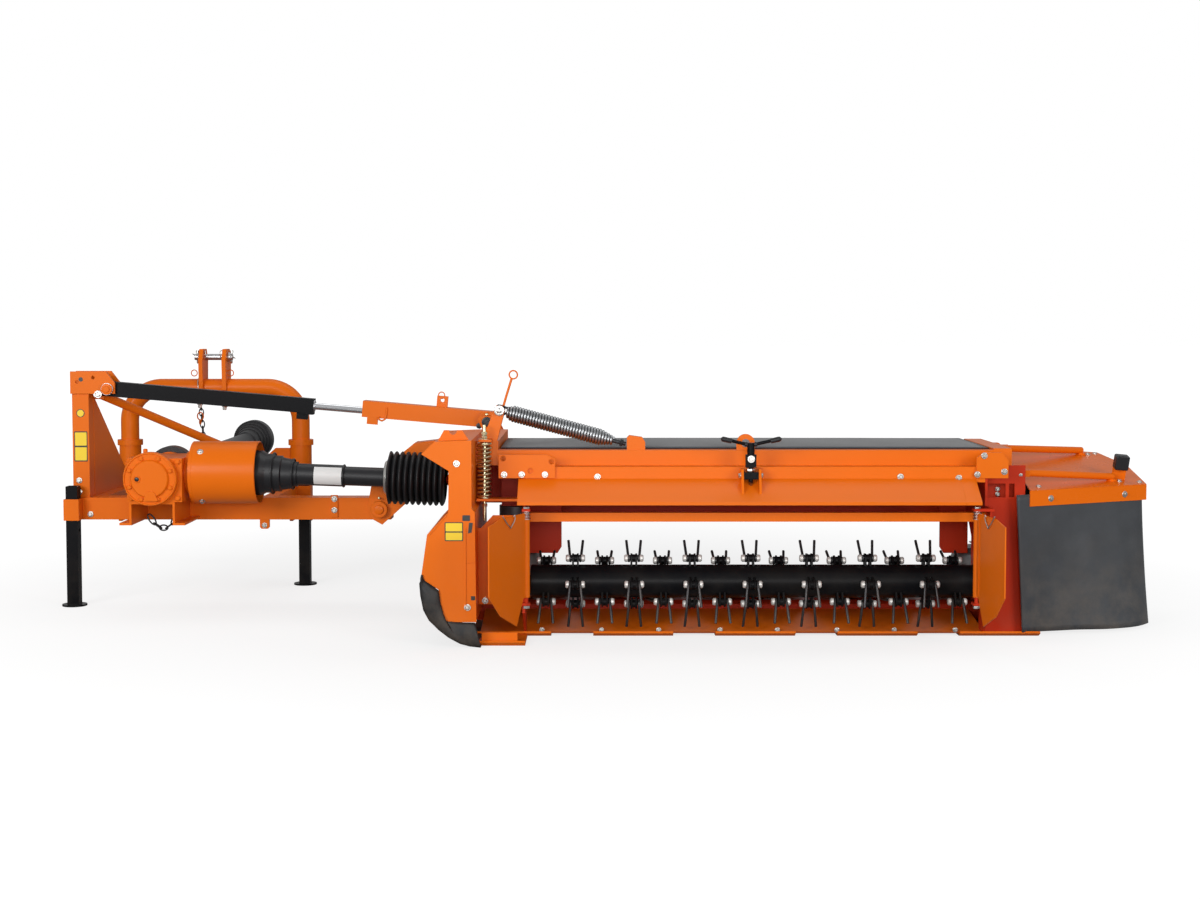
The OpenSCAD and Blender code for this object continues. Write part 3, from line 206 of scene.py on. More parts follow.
clear_coat = {"Specular_IOR_Level": 0.15, "Coat_Weight": 0.02, "Coat_Roughness": 0.1}
orange = finish("orange_paint", (0.77, 0.15, 0.004), 0.33, shade=0.16, dusty=0.1, **clear_coat)
dull = {"dusty": 0.06, "Specular_IOR_Level": 0.1}
black_paint = finish("black_paint", (0.004, 0.004, 0.005), 0.34, shade=0.3, **dull)
# The inner plates and walls of the red_paint slot are orange paint: this dark red is that orange with their
# shade painted in
painted_shade_orange = finish("orange_paint_with_painted_shade", (0.5, 0.026, 0.003), 0.42, shade=0.25, dusty=0.1, Specular_IOR_Level=0.15)
moulded = {"grain": 900.0, "bump": 0.12, "Specular_IOR_Level": 0.4}
plastic = finish("black_plastic", (0.01, 0.01, 0.012), 0.4, shade=0.3, **moulded)
moulded = {"grain": 600.0, "bump": 0.15, "Specular_IOR_Level": 0.35}
rubber = finish("black_rubber", (0.008, 0.008, 0.009), 0.5, shade=0.4, **moulded)
steel = finish("bare_steel", (0.5, 0.5, 0.51), 0.34, shade=0.4, grain=1500.0, Metallic=1.0)
dark_steel = finish("blackened_steel", (0.035, 0.035, 0.038), 0.36, shade=0.6, grain=900.0, Metallic=0.6)
worn = finish("worn_skid_steel", (0.03, 0.03, 0.032), 0.45, shade=0.5, dusty=0.5)
chrome = finish("hard_chrome", (0.74, 0.75, 0.77), 0.1, grain=2000.0, bump=0.02, dusty=0.0, Metallic=1.0)
zinc = finish("zinc_plating", (0.62, 0.61, 0.58), 0.3, shade=0.35, grain=1200.0, Metallic=1.0)
yellow_zinc = finish("yellow_zinc", (0.66, 0.6, 0.38), 0.3, shade=0.4, grain=1200.0, Metallic=1.0)
grey_casting = finish("grey_disc_steel", (0.16, 0.165, 0.17), 0.4, shade=0.4, dusty=0.5, Metallic=0.5)

by_slot = {
    "orange_paint": orange, "black_paint": black_paint, "red_paint": painted_shade_orange, "black_plastic": plastic,
    "rubber": rubber, "canvas": rubber, "bare_steel": steel, "worn_steel": worn, "chrome": chrome,
    "zinc": zinc,
}
for row in frame["record"]["subparts"]:
    part = frame["nodes"][row["node"]]
    part.data.materials.clear()
    part.data.materials.append(by_slot[row["material_slot"]])
for i in range(1, 6):
    frame["nodes"][f"disc_{i}"].data.materials[0] = grey_casting
# The head gearbox takes the same orange with painted shade
frame["nodes"]["head_gearbox"].data.materials[0] = painted_shade_orange
# The shoes are worn dark below, but their bent rear edges keep the paint
bent_from = -1.196
shoes = frame["nodes"]["skid_shoes"].data
shoes.materials.append(orange)
for face in shoes.polygons:
    face.material_index = int(face.center[1] < bent_from + ALONG)


# Bolts, nuts and washers: zinc plated, of the common hexagon kind, each turned and milled from bar.
# They hold the bolted plates of the hitch, and sit on every face that the photograph shows them on.
def surface(rows, around=False, along=False, ends=False):
    """Points of a grid and its four-sided faces; either way may close, and flat ends may be added."""
    rows = np.asarray(rows, float)
    n, m = rows.shape[:2]
    index = np.arange(n * m).reshape(n, m)
    down = np.concatenate([index, index[:1]]) if along else index
    wide = np.concatenate([down, down[:, :1]], 1) if around else down
    quads = np.stack([wide[:-1, :-1], wide[1:, :-1], wide[1:, 1:], wide[:-1, 1:]], -1).reshape(-1, 4).tolist()
    if ends:
        quads += [index[0].tolist(), index[-1][::-1].tolist()]
    return rows.reshape(-1, 3), quads


# The slot that each finish stands for; dark steel and the films have none
slot_of = {paint.name: slot for slot, paint in by_slot.items() if slot != "canvas"}
slot_of[yellow_zinc.name] = "zinc"


def build(name, shapes, body, material, crease=35):
    """Joins grids, in millimetres from the hitch pins' middle, into one piece that rides on a body."""
    spots, faces, count = [], [], 0
    for points, quads in shapes:
        tri = np.array([[q[0], q[i], q[i + 1]] for q in quads for i in range(1, len(q) - 1)])
        a, b, c = (points[tri[:, k]] for k in range(3))
        volume = np.einsum("ij,ij->i", a, np.cross(b, c)).sum()
        faces += [[count + v for v in (q[::-1] if volume < 0 else q)] for q in quads]
        spots.append(points)
        count += len(points)
    spots = np.concatenate(spots) / 1000 + np.array([ACROSS, ALONG, 0])
    mesh = bpy.data.meshes.new(name)
    mesh.from_pydata(spots.tolist(), [], faces)
    mesh.materials.append(material)
    mesh.shade_smooth()
    mesh.set_sharp_from_angle(angle=math.radians(crease))
    piece = bpy.data.objects.new(name, mesh)
    bpy.context.scene.collection.objects.link(piece)
    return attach(piece, body)


def unit(v):
    """The same direction with a length of one."""
    v = np.asarray(v, float)
    return v / np.linalg.norm(v, axis=-1, keepdims=True)


def turned(profile, at, axis, sides=20, ends=False):
    """A profile of (distance, radius) pairs turned round an axis that starts at a point."""
    axis = unit(axis)
    side = unit(np.cross(axis, [0.3, 0.2, 1.0] if abs(axis[2]) < 0.9 else [1.0, 0.1, 0.2]))
    up = np.cross(axis, side)
    angle = np.linspace(0, 2 * np.pi, sides, endpoint=False)
    spokes = np.cos(angle)[:, None] * side + np.sin(angle)[:, None] * up
    profile = np.asarray(profile, float)
    rows = np.asarray(at, float) + profile[:, :1, None] * axis + profile[:, 1:, None] * spokes
    return surface(rows, around=True, ends=ends)


def hex_bolt(at, axis, across=17, washer=13, tall=9):
    """A hexagon head with its chamfer on a round washer; the axis points away from the plate."""
    r = across / 2
    head = [(1.5, r * 0.96), (2.2, r * 1.15), (tall - 1.6, r * 1.15), (tall, r * 0.86)]
    disc = [(-0.4, washer), (1.2, washer), (1.8, washer - 0.7), (1.8, 1)]
    return [turned(head, at, axis, 6, True), turned(disc, at, axis, 20, True)]


REAR = (0, -1, 0)
bolts = hex_bolt((-296, -572, 766), REAR, 16, 14)
plate_spots = [(-372, -562, 452), (-372, -562, 410), (-330, -572, 330), (558, -578, 386), (558, -578, 345)]
for spot in plate_spots:
    bolts += hex_bolt(spot, REAR, 15, 11)
build("hitch_bolts", bolts, "hitch", zinc)


# Linch pins and rings: spring wire pins with a wire ring, through the ends of the hitch pins.
# Each pin drops through a drilled hole and its ring flips over the shaft's end.
def swept(path, outline, side):
    """An outline of (across, up) pairs carried along a path, kept upright to a side vector."""
    path, outline = np.asarray(path, float), np.asarray(outline, float)
    run = unit(np.gradient(path, axis=0))
    up = unit(np.cross(run, np.broadcast_to(np.asarray(side, float), path.shape)))
    across = np.cross(up, run)
    return path[:, None] + outline[None, :, :1] * across[:, None] + outline[None, :, 1:] * up[:, None]


def round_bar(path, d, side, sides=10, closed=False):
    """A round wire or bar of one diameter along a path."""
    angle = np.linspace(0, 2 * np.pi, sides, endpoint=False)
    outline = np.stack([np.cos(angle), np.sin(angle)], -1) * d / 2
    if not closed:
        return surface(swept(path, outline, side), around=True, ends=True)
    path = np.asarray(path, float)
    loop = swept(np.concatenate([path[-2:], path, path[:2]]), outline, side)[2:-2]
    return surface(loop, around=True, along=True)


def ring(centre, normal, r, d, sides=28):
    """A wire ring round a centre."""
    normal = unit(normal)
    a = unit(np.cross(normal, [0.2, 0.3, 1.0] if abs(normal[2]) < 0.9 else [1.0, 0.2, 0.1]))
    b = np.cross(normal, a)
    t = np.linspace(0, 2 * np.pi, sides, endpoint=False)[:, None]
    return round_bar(np.asarray(centre, float) + r * (np.cos(t) * a + np.sin(t) * b), d, normal, 8, True)


def linch_pin(at):
    """A short upright pin through a shaft, with its head and ring."""
    x, y, z = at
    pin = turned([(-26, 2.5), (-23, 4), (16, 4), (17, 7), (25, 7), (27, 5)], at, (0, 0, 1), 14, True)
    return [pin, ring((x, y - 14, z + 4), (0.5, 0.2, 1), 19, 3)]


clips = []
for x in (-492, 492):
    clips += linch_pin((x, 0, 279))
clips += linch_pin((-67, 0, 889)) + linch_pin((67, 0, 889))
clips += [ring((-32, -24, 902), (1, 0.3, 0), 13, 3), ring((32, -24, 902), (1, -0.3, 0), 13, 3)]
build("linch_pins", clips, "hitch", zinc)
ear_rings = [ring((-79, -10, 826), (0.1, 1, 0), 12, 4), ring((64, -10, 826), (-0.1, 1, 0), 12, 4)]
build("ear_rings", ear_rings, "hitch", orange)

# Chains: a loop of welded links hangs under the gearbox's seat, and a second chain from the arch
# carries the parked input shaft. Each link is bent from round bar, a quarter turn from the last.
def chain(path, d, wide):
    """Links of one pitch between the points of a path: ovals turned alternately flat and upright."""
    made = []
    for k in range(len(path) - 1):
        middle, run = (path[k] + path[k + 1]) / 2, unit(path[k + 1] - path[k])
        other = np.array([0, 1.0, 0]) if k % 2 else np.cross(run, [0, 1.0, 0])
        half = float(np.linalg.norm(path[k + 1] - path[k])) / 2 + d * 0.8
        t = np.linspace(0, 2 * np.pi, 18, endpoint=False)[:, None]
        oval = middle + run * np.cos(t) * half + other * np.sin(t) * wide
        made.append(round_bar(oval, d, np.cross(run, other), 8, True))
    return made


span = np.linspace(-84, 20, 6)
loop = np.stack([span, np.full(6, -700.0), 294 + 46 * ((span + 32) / 52) ** 2], -1)
build("safety_chain", chain(loop, 5.6, 9.5), "hitch", dark_steel)
drop = np.linspace(0, 1, 9)[:, None]
hung = np.array([-59.0, 0, 728.0]) * (1 - drop) + np.array([-46.0, 0, 542.0]) * drop
build("shaft_chain", chain(hung, 4.8, 8.5), "hitch", dark_steel)
clip = [ring((-57, -9, 655), (0.5, 1, 0), 15, 5), ring((-58, -9, 632), (1, 0.6, 0), 9, 5)]
build("shaft_chain_clip", clip, "hitch", orange)
# One steel ring goes round the shaft's guard, square to the shaft, and one round the arch's tube
shaft_ring = ring((-13, 0, 504), (73, 1176, 29), 41.5, 6, 36)
arch_ring = ring((-57, 0, 768), (1, 0, 0.15), 38, 5, 36)
build("shaft_strap", [shaft_ring, arch_ring], "hitch", zinc)

# Blank stickers: printed plastic film on the post, the inner cover and the shaft's guard.
# They are left without words or signs, as plain coloured film with a dark border.
film = {"shade": 0.06, "grain": 300.0, "bump": 0.02, "edge": 0.0002}
yellow_film = finish("yellow_film", (0.86, 0.6, 0.01), 0.32, **film)
white_film = finish("white_film", (0.75, 0.75, 0.74), 0.35, **film)
# This black serves the stickers' printed borders, and is also the painted shade inside holes
black_film_and_hole_shade = finish("black_film_and_hole_shade", (0.015, 0.015, 0.015), 0.35, **film)


def slab(outline, start, thick, across=(1, 0, 0), up=(0, 0, 1)):
    """A flat plate: an outline of (across, up) pairs from a start point, thick along across x up."""
    across, up = unit(across), unit(up)
    out = np.cross(across, up)
    outline = np.asarray(outline, float)
    flat = np.asarray(start, float) + outline[:, :1] * across + outline[:, 1:] * up
    return surface(np.stack([flat, flat + out * thick]), around=True, ends=True)


def rounded(w, h, r, n=5):
    """Corner points of a rectangle with rounded corners, from its lower left corner."""
    t = np.linspace(0, np.pi / 2, n)
    arc = np.stack([np.cos(t), np.sin(t)], -1) * r
    turns = [(w - r, h - r, 1, 1, 1), (r, h - r, -1, 1, -1), (r, r, -1, -1, 1), (w - r, r, 1, -1, -1)]
    return np.concatenate([(arc * (sx, sy) + (cx, cy))[::step] for cx, cy, sx, sy, step in turns])


# A slab's third direction points to the rear for a plate seen from behind, so each film lies on
# its sheet, and the coloured film on the dark frame
thin = 0.5
frames = [slab(rounded(48, 110, 3), (-388, -562.1, 521), thin)]
frames.append(slab(rounded(30, 30, 15), (-379, -562.1, 682), thin))
build("post_sticker_frames", frames, "hitch", black_film_and_hole_shade)
films = [slab(rounded(42, 48, 2), (-385, -562.5, z), thin) for z in (579, 525)]
films.append(slab(rounded(25, 25, 12.5), (-376.5, -562.5, 684.5), thin))
build("post_stickers", films, "hitch", yellow_film)
# The post's hole is a thin black disc on its face: the hole's shade, painted
hole_shade = turned([(0, 8), (0.5, 8), (0.5, 0.5)], (-358, -572, 820), REAR, 20)
build("post_hole_painted_shade", [hole_shade], "hitch", black_film_and_hole_shade)
build("cover_sticker_frame", [slab(rounded(58, 60, 3), (1033, -1400.1, 338), thin)], "mower", black_film_and_hole_shade)
films = [slab(rounded(52, 26, 2), (1036, -1400.5, 369), thin)]
films.append(slab(rounded(52, 24, 2), (1036, -1400.5, 341), thin))
build("cover_sticker", films, "mower", yellow_film)

# Gearbox seat: a hat-shaped channel folded from 8 mm plate, welded to the beam, with the gearbox
# bolted down on its top. A lug for a parking stay hangs under the beam beside it.
seat_front, seat_long = (0, -572, 0), 228
left_leg = [(-162, 316), (-119, 316), (-119, 398), (-127, 398), (-127, 324), (-162, 324)]
right_leg = [(25, 316), (68, 316), (68, 324), (33, 324), (33, 398), (25, 398)]
seat_top = [(-119.2, 390), (25.2, 390), (25.2, 398), (-119.2, 398)]
seat_parts = [slab(outline, seat_front, seat_long) for outline in (left_leg, right_leg, seat_top)]
seat = build("gearbox_seat_channel", seat_parts, "hitch", orange)
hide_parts("gearbox_seat")
lug_shape = [(0, 6), (6, 0), (29, 0), (35, 6), (35, 36), (0, 36)]
build("stay_lug", [slab(lug_shape, (285, -560, 276), 10)], "hitch", orange)
build("stay_lug_bolt", hex_bolt((302, -570, 289), REAR, 13, 10, 8), "hitch", zinc)

# Gearbox: an iron casting in the machine's orange, with a bolted round cover, an oil plug and
# a breather. Bolts hold the guard where the drive leaves to the side.
gear_cx, gear_cz = -47.0, 481.0
case_rear, cover_face = -800, -824
bolt_ring = 77
casting = []
for a in np.radians(np.arange(8) * 45 + 22):
    spot = (gear_cx + bolt_ring * math.cos(a), cover_face, gear_cz + bolt_ring * math.sin(a))
    casting += hex_bolt(spot, REAR, 14, 9.5, 7)
for x, z in [(-118, 412), (45, 412), (-118, 540), (45, 540)]:
    casting += hex_bolt((x, case_rear, z), REAR, 16, 12)
cover_middle = (gear_cx, cover_face, gear_cz)
casting.append(turned([(0, 94), (4, 92), (4, 88.5), (0, 87)], cover_middle, REAR, 56))
casting.append(turned([(0, 68), (8, 65), (10.4, 62), (10.4, 0.5)], cover_middle, REAR, 56))
notch = [(-24, -14), (26, -14), (17, 12), (8, 20), (-8, 20), (-16, 12)]
casting.append(slab(notch, (gear_cx + 4, cover_face, gear_cz - 62), 14))
casting.append(turned([(0, 13), (3, 12), (3, 9), (0, 8.4)], (gear_cx - 42, -834.4, gear_cz), REAR, 24))
breather = [(0, 16), (10, 16), (13, 13), (13, 8), (26, 8), (29, 6), (29, 0.5)]
casting.append(turned(breather, (-96, -690, 548), (0, 0, 1), 16))
for x in (-100, -10):
    casting.append(slab(rounded(26, 74, 5), (x, case_rear - 0.1, 404), 8))
build("gearbox_casting_details", casting, "hitch", orange)
plug = turned([(0, 7.5), (3, 7.5), (3.5, 6.5), (3.5, 0.5)], (gear_cx - 42, -834.5, gear_cz), REAR, 6)
build("gearbox_plugs", [plug], "hitch", dark_steel)
guard_bolts = hex_bolt((117, -768.5, 571.5), (0, -0.707, 0.707), 14, 11)
guard_bolts += hex_bolt((117, -745.7, 397), (0, -0.5, -0.865), 14, 11)
build("drive_guard_bolts", guard_bolts, "hitch", zinc)
rim = [(0, 108.5), (2, 111.5), (6, 111.5), (8, 108.5)]
rolled = [turned(rim, (x, -690, 493), (1, 0, 0), 64) for x in (84, 304)]
build("drive_guard_rims", rolled, "hitch", orange)

# Drive shaft: two telescopic halves inside black plastic tubes, with a ribbed rubber bellows over
# the outer joint. A steel band holds the bellows on the tube, and a blank label is stuck on it.
joint = np.array([260.0, -690.0, 493.0])
head = np.array([1000.0, -690.0, 466.0])
shaft = unit(head - joint)
shaft_len = float(np.linalg.norm(head - joint))
bellows_end = shaft_len - 20
bellows_start = (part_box("drive_bellows")[0][0] - ACROSS) * 1000 - joint[0] + 3
folds, sides_round, rubber_wall, neck_r = 10, 56, 5, 43.5
fold = (bellows_end - bellows_start - 12) / folds
along_folds = np.linspace(0, folds, 161)
wave = np.abs(np.sin(np.pi * along_folds)) ** 0.75
skin_r = 77 + 18 * wave
skin_r[:8] = np.linspace(60, skin_r[8], 8)
skin_out = np.stack([bellows_start + 6 + along_folds * fold, skin_r], -1)
skin_in = np.stack([skin_out[::-1, 0], skin_out[::-1, 1] - rubber_wall], -1)
neck = [(bellows_start - 2, neck_r), (bellows_start - 2, 56)]
profile = np.concatenate([neck, skin_out, skin_in[:-8], [(bellows_start + 8, neck_r)]])
points, quads = turned(profile, joint, shaft, sides_round)
# The last ring of points joins the first one, inside the neck
first_ring = np.arange(sides_round)
last_ring = first_ring + len(points) - sides_round
closing = np.stack([last_ring, first_ring, np.roll(first_ring, -1), np.roll(last_ring, -1)], -1)
skin = (points, quads + closing.tolist())
bellows = build("drive_bellows_rubber", [skin], "drive_inner", rubber, crease=60)
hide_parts("drive_bellows")
band_profile = [(bellows_start + d, r) for d, r in ((-1.5, 57), (6, 62.5), (8, 62.5), (9, 60))]
band = turned(band_profile, joint, shaft, 48)
collar = turned([(shaft_len - d, r) for d, r in ((82, 34), (82, 52), (60, 52), (60, 34))], joint, shaft, 36)
build("bellows_band", [band, collar], "drive_inner", zinc)
label_angle = np.radians(np.linspace(-52, 52, 13))[:, None]
label_way = np.cos(label_angle) * np.array([0, -1.0, 0]) - np.sin(label_angle) * np.cross(shaft, [0, 1.0, 0])
label_from, label_to, tube_skin = 248, 346, 38.7
label_skin = tube_skin + 0.4
corners = [(label_from, label_skin), (label_to, label_skin), (label_to, tube_skin), (label_from, tube_skin)]
loop = np.stack([joint + shaft * d + r * label_way for d, r in corners], 1)
build("shaft_label", [surface(loop, around=True, ends=True)], "drive_outer", white_film)
rims = []
for d, r in ((98, 75), (168, 56), (348, 41.5)):
    rims.append(turned([(d, r - 3), (d + 1, r), (d + 5, r), (d + 6, r - 3)], joint, shaft, 48))
build("shaft_guard_beads", rims, "drive_outer", plastic)

# Lift cylinder and channel: a black barrel with a chromed rod, which pulls the mower up through
# a pressed channel. A wire ring hangs in the channel's lug, and bolts hold its end.
ram = unit([1113 + 262, 0, 667 - 785])
ram_up = np.cross(ram, [0, -1.0, 0])
ram_up = ram_up if ram_up[2] > 0 else -ram_up
eye_point = np.array([1113.0, -532.0, 667.0])
lug_ring = ring(eye_point - ram * 175 + ram_up * 79, (0.25, 1, 0), 12, 4)
build("channel_ring", [lug_ring], "ram", orange)
pin_head = [(0, 11.5), (5, 11.5), (5.5, 10), (5.5, 0.5)]
ear_cap = [(0, 18), (4, 18), (5, 16), (5, 12), (11, 11), (11, 0.5)]
pin_ends, ear_ends = [], []
for side in (-1, 1):
    pin_at = eye_point - ram * 27 - ram_up * 18 + [0, side * 35, 0]
    pin_ends.append(turned(pin_head, pin_at, (0, side, 0), 6))
    ear_ends.append(turned(ear_cap, eye_point + [0, side * 51.2, 0], (0, side, 0), 22))
build("channel_bolts", pin_ends, "ram", dark_steel)
build("eye_pin_caps", ear_ends, "mower", dark_steel)
hook = eye_point - ram * 366
hook_bends = [(0, 20, -36), (0, -8, -37), (-4, -24, -38), (-14, -30, -40), (-24, -26, -41), (-27, -16, -42)]
bend = np.array([hook + ram * a + ram_up * b + [0, c, 0] for a, b, c in hook_bends])
build("channel_hook", [round_bar(bend, 7, (0, 1, 0))], "ram", orange)
base = np.array([-262.0, -532.0, 785.0])
port = [(0, 11), (4, 11), (5, 10), (5, 8), (14, 8), (16, 6), (16, 0.5)]
ports = [turned(port, base + ram * d - ram_up * 26, -ram_up, 6) for d in (330, 420)]
build("barrel_ports", ports, "barrel", zinc)
wiper = turned([(-0.3, 22), (3, 22), (4, 20), (4, 13.2), (-0.3, 13.2)], base + ram * 745, ram, 28)
build("barrel_wiper", [wiper], "barrel", steel)
pin_cap = [(0, 20), (5, 20), (6, 18), (6, 12), (10, 11), (10, 0.5)]
pins = [turned(pin_cap, (-262, y, 785), (0, way, 0), 24) for y, way in ((-580, -1), (-484, 1))]
build("ram_pin_caps", pins, "hitch", orange)
cap = [(0, 30), (14.4, 30), (16, 28.4), (16, 17), (21, 16), (22, 14), (22, 0.5)]
build("arm_pivot_cap", [turned(cap, (724, -593.8, 350), REAR, 32)], "hitch", orange)
nut = turned([(0, 17), (3, 17), (3, 13), (12, 13), (12, 0.5)], (724, -458, 350), (0, 1, 0), 24)
build("arm_pivot_nut", [nut], "hitch", dark_steel)
nipple = [(0, 5), (5, 5), (6, 3), (9, 3), (10, 4), (13, 4), (14, 2.5)]
nipples = [turned(nipple, spot, REAR, 10, True) for spot in ((724, -600, 392), (1113, -590, 694))]
build("grease_nipples", nipples, "mower", yellow_zinc)

# Headstock lever: two plates hold the long spring's pin, with a locking rod and its pull ring
# that stand up behind them.
rod_path = np.array([(1206, -1166, 752), (1214, -1166, 780), (1233, -1166, 842)], float)
rod = [round_bar(rod_path, 8, (0, 1, 0), 12), ring((1239, -1166, 856), (0.05, 1, 0.1), 13.5, 5)]
build("lever_rod", rod, "mower", orange)
pin_nut = [(0, 17), (3, 17), (3.5, 15), (3.5, 9), (10, 9), (11, 7.5), (11, 0.5)]
caps = [turned(pin_nut, (1194, y, 740), (0, way, 0), 18) for y, way in ((-1197, -1), (-1143, 1))]
build("spring_pin_nuts", caps, "mower", zinc)


# Springs: an upright compression spring on a threaded rod, of yellow zinc plated wire, and a long
# tension spring of bright wire with tapered ends, from the lever to a lug on the rear beam.
def coil(start, axis, length, turns, r_at, d, per_turn=18, sides=8):
    """A wire wound round an axis; its radius may change along the length."""
    axis = unit(axis)
    a = unit(np.cross(axis, [0, 1.0, 0.13]))
    b = np.cross(axis, a)
    t = np.linspace(0, 1, int(turns * per_turn) + 1)
    turn = 2 * np.pi * turns * t
    spoke = np.cos(turn)[:, None] * a + np.sin(turn)[:, None] * b
    path = np.asarray(start, float) + axis * (length * t)[:, None] + spoke * r_at(t)[:, None]
    return round_bar(path, d, spoke, sides)


post = np.array([1147.0, -1220.0])
upright = coil((*post, 461), (0, 0, 1), 173, 12.5, lambda t: 20.0 + 0 * t, 8.0)
spring_parts = [upright]
spring_parts.append(turned([(0, 5.5), (310, 5.5), (312, 4.5)], (*post, 383), (0, 0, 1), 16, True))
for z, r in ((646.2, 19), (457, 22), (634, 22)):
    spring_parts.append(turned([(0, 6), (0, r), (2.6, r), (2.6, 6)], (*post, z), (0, 0, 1), 26))
for z in (650, 662, 428):
    spring_parts.append(turned([(0, 9), (1, 10.5), (9, 10.5), (10, 9), (10, 5)], (*post, z), (0, 0, 1), 6))
spring_up = build("upright_spring", spring_parts, "mower", yellow_zinc, crease=40)
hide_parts("float_springs")
pin = np.array([1194.0, -1170.0, 740.0])
lug = np.array([1611.0, -1170.0, 628.0])
pull = unit(lug - pin)
pull_len = float(np.linalg.norm(lug - pin))


def long_radius(t):
    """The coil's radius: full over the length, drawn in to the hooks at both ends."""
    return 23.3 * np.clip(np.minimum(0.55 + t / 0.05 * 0.45, 0.42 + (1 - t) / 0.13 * 0.58), 0, 1)


winding = coil(pin + pull * 26, pull, pull_len - 72, 37, long_radius, 9.3, 16)
hook_bends = [(32, 16), (20, 13), (6, 15), (-8, 14), (-15, 2), (-11, -10), (0, -15), (14, -12), (26, -2)]
hook_path = np.array([pin + pull * a + np.cross(pull, [0, 1.0, 0]) * b for a, b in hook_bends])
ends = [round_bar(hook_path, 8, (0, 1, 0), 10)]
ends.append(turned([(0, 7), (70, 7)], pin + pull * (pull_len - 74), pull, 14, True))
ends.append(turned([(0, 9), (1, 12), (10, 12), (11, 9)], pin + pull * (pull_len - 24), pull, 6, True))
spring_steel = finish("spring_steel", (0.36, 0.37, 0.38), 0.34, shade=0.4, grain=1200.0, Metallic=1.0)
build("long_spring", [winding], "mower", spring_steel, crease=50)
build("long_spring_ends", ends, "mower", dark_steel)

# Conditioner rotor: a glossy black tube that carries steel tines in pairs. Each pair is bolted
# between two cheeks, sits in two pale bushings, and stands out past the bolt as a fork.
rotor_mid = np.array([0.0, -1200.0, 181.0])
first, pitch, rows = 1347.0, 95.6, 15
tube_from, tube_long = rotor_mid + [first - 50, 0, 0], (rows - 1) * pitch + 120
tube_profile = [(0, 20), (0, 52), (2, 54), (tube_long - 2, 54), (tube_long, 52), (tube_long, 20)]
tube = turned(tube_profile, tube_from, (1, 0, 0), 40)
stub_profile = [(-23, 0.5), (-23, 20), (tube_long + 23, 20), (tube_long + 23, 0.5)]
stub_ends = turned(stub_profile, tube_from, (1, 0, 0), 24)
clamp, wires, bushes = [tube, stub_ends], [], []
# Each pair swings on its bolt: those on top lean over, those at the sides hang down, in degrees
lean_of = {0: -65, 90: 50, 125: 41, 180: 65, 270: 0, 305: 0}
bolt_r, leg_long, wire_d, eye_r = 75, 76, 9, 9.5
cheek = [(-21, 0), (21, 0), (15, 31), (8, 39), (-8, 39), (-15, 31)]
turns_in_row = ([125, 305], [0, 90, 180, 270])
for x, turn_to in [(first + i * pitch, turn) for i in range(rows) for turn in turns_in_row[i % 2]]:
    a, lean_by = math.radians(turn_to), math.radians(lean_of[turn_to])
    out = np.array([0, -math.cos(a), math.sin(a)])
    back = np.array([0, math.sin(a), math.cos(a)])
    leg_out = out * math.cos(lean_by) + back * math.sin(lean_by)
    leg_back = back * math.cos(lean_by) - out * math.sin(lean_by)
    centre = rotor_mid + [x, 0, 0]
    bolt_at = centre + out * bolt_r
    for side in (-1, 1):
        clamp.append(slab(cheek, centre + out * 51 + [side * 8 - 3, 0, 0], 6, back, out))
        bush = [(0, 4), (0, 10), (2.5, 12), (9.5, 12), (13, 9), (13.5, 0.5)]
        bushes.append(turned(bush, bolt_at + [side * 18.5, 0, 0], (side, 0, 0), 14))
        wind = np.radians(200 * np.linspace(1, 0, 7))[:, None]
        eye = eye_r * (np.cos(wind) * leg_back - np.sin(wind) * leg_out)
        curl = bolt_at + eye + np.linspace(14.5, 16.5, 7)[:, None] * [side, 0, 0]
        u = np.linspace(0, 1, 9)[:, None]
        leg = bolt_at + leg_long * u * leg_out + (eye_r - 12.5 * u ** 1.6) * leg_back
        leg = leg + (16.5 + 7.5 * u) * [side, 0, 0]
        wires.append(round_bar(np.concatenate([curl, leg[1:]]), wire_d, (1, 0, 0), 7))
    clamp.append(turned([(-26, 0.5), (-26, 5), (26, 5), (26, 0.5)], bolt_at, (1, 0, 0), 10))
    clamp.append(turned([(-6, 0.5), (-6, 13), (6, 13), (6, 0.5)], bolt_at, (1, 0, 0), 16))
rotor = build("rotor_tube_and_clamps", clamp, "tine_rotor", black_paint, crease=30)
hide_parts("rotor")
build("tines", wires, "tine_rotor", dark_steel, crease=60)
bush_white = finish("pale_bushing", (0.72, 0.7, 0.67), 0.35, shade=0.3, dusty=0.3, Metallic=0.4)
build("tine_bushings", bushes, "tine_rotor", bush_white)

# Cutter bar: a flat steel gear case with five discs. Each disc is held by a nut, its two free
# swinging knives hang on bolts, and the rear plate behind it is bolted along its edge.
first_disc, disc_pitch, disc_y, knife_r = 1232, 400, -855, 163
disc_nut = [(0, 26), (3, 27), (5, 25), (5, 15), (16, 14), (18, 12), (18, 0.5)]
knife_bolt = [(0, 13), (2, 14), (9, 14), (11, 12), (11, 0.5)]
for i in range(5):
    cx = first_disc + disc_pitch * i
    # The last disc carries a cone, and the first one's nut is inside its drum
    top_z = 262 if i == 4 else 143
    parts = [turned(disc_nut, (cx, disc_y, top_z), (0, 0, 1), 6)] if i else []
    turn = math.radians(25 + 90 * (i % 2))
    for side in (0, math.pi):
        px, py = cx + knife_r * math.cos(turn + side), disc_y + knife_r * math.sin(turn + side)
        parts.append(turned(knife_bolt, (px, py, 116), (0, 0, 1), 6))
    build(f"disc_{i + 1}_nuts", parts, f"cutter_{i + 1}", zinc)
# The bolts' places along the plate are read from the photograph, so they aren't quite even
plate_bolts = []
for x in (1332.62, 1528.198, 1715.004, 1915.78, 2103.561, 2299.138, 2487.244, 2686.72):
    plate_bolts += hex_bolt((x, -1210.5, 21), REAR, 11, 8.5, 6)
build("rear_plate_bolts", plate_bolts, "mower", zinc)

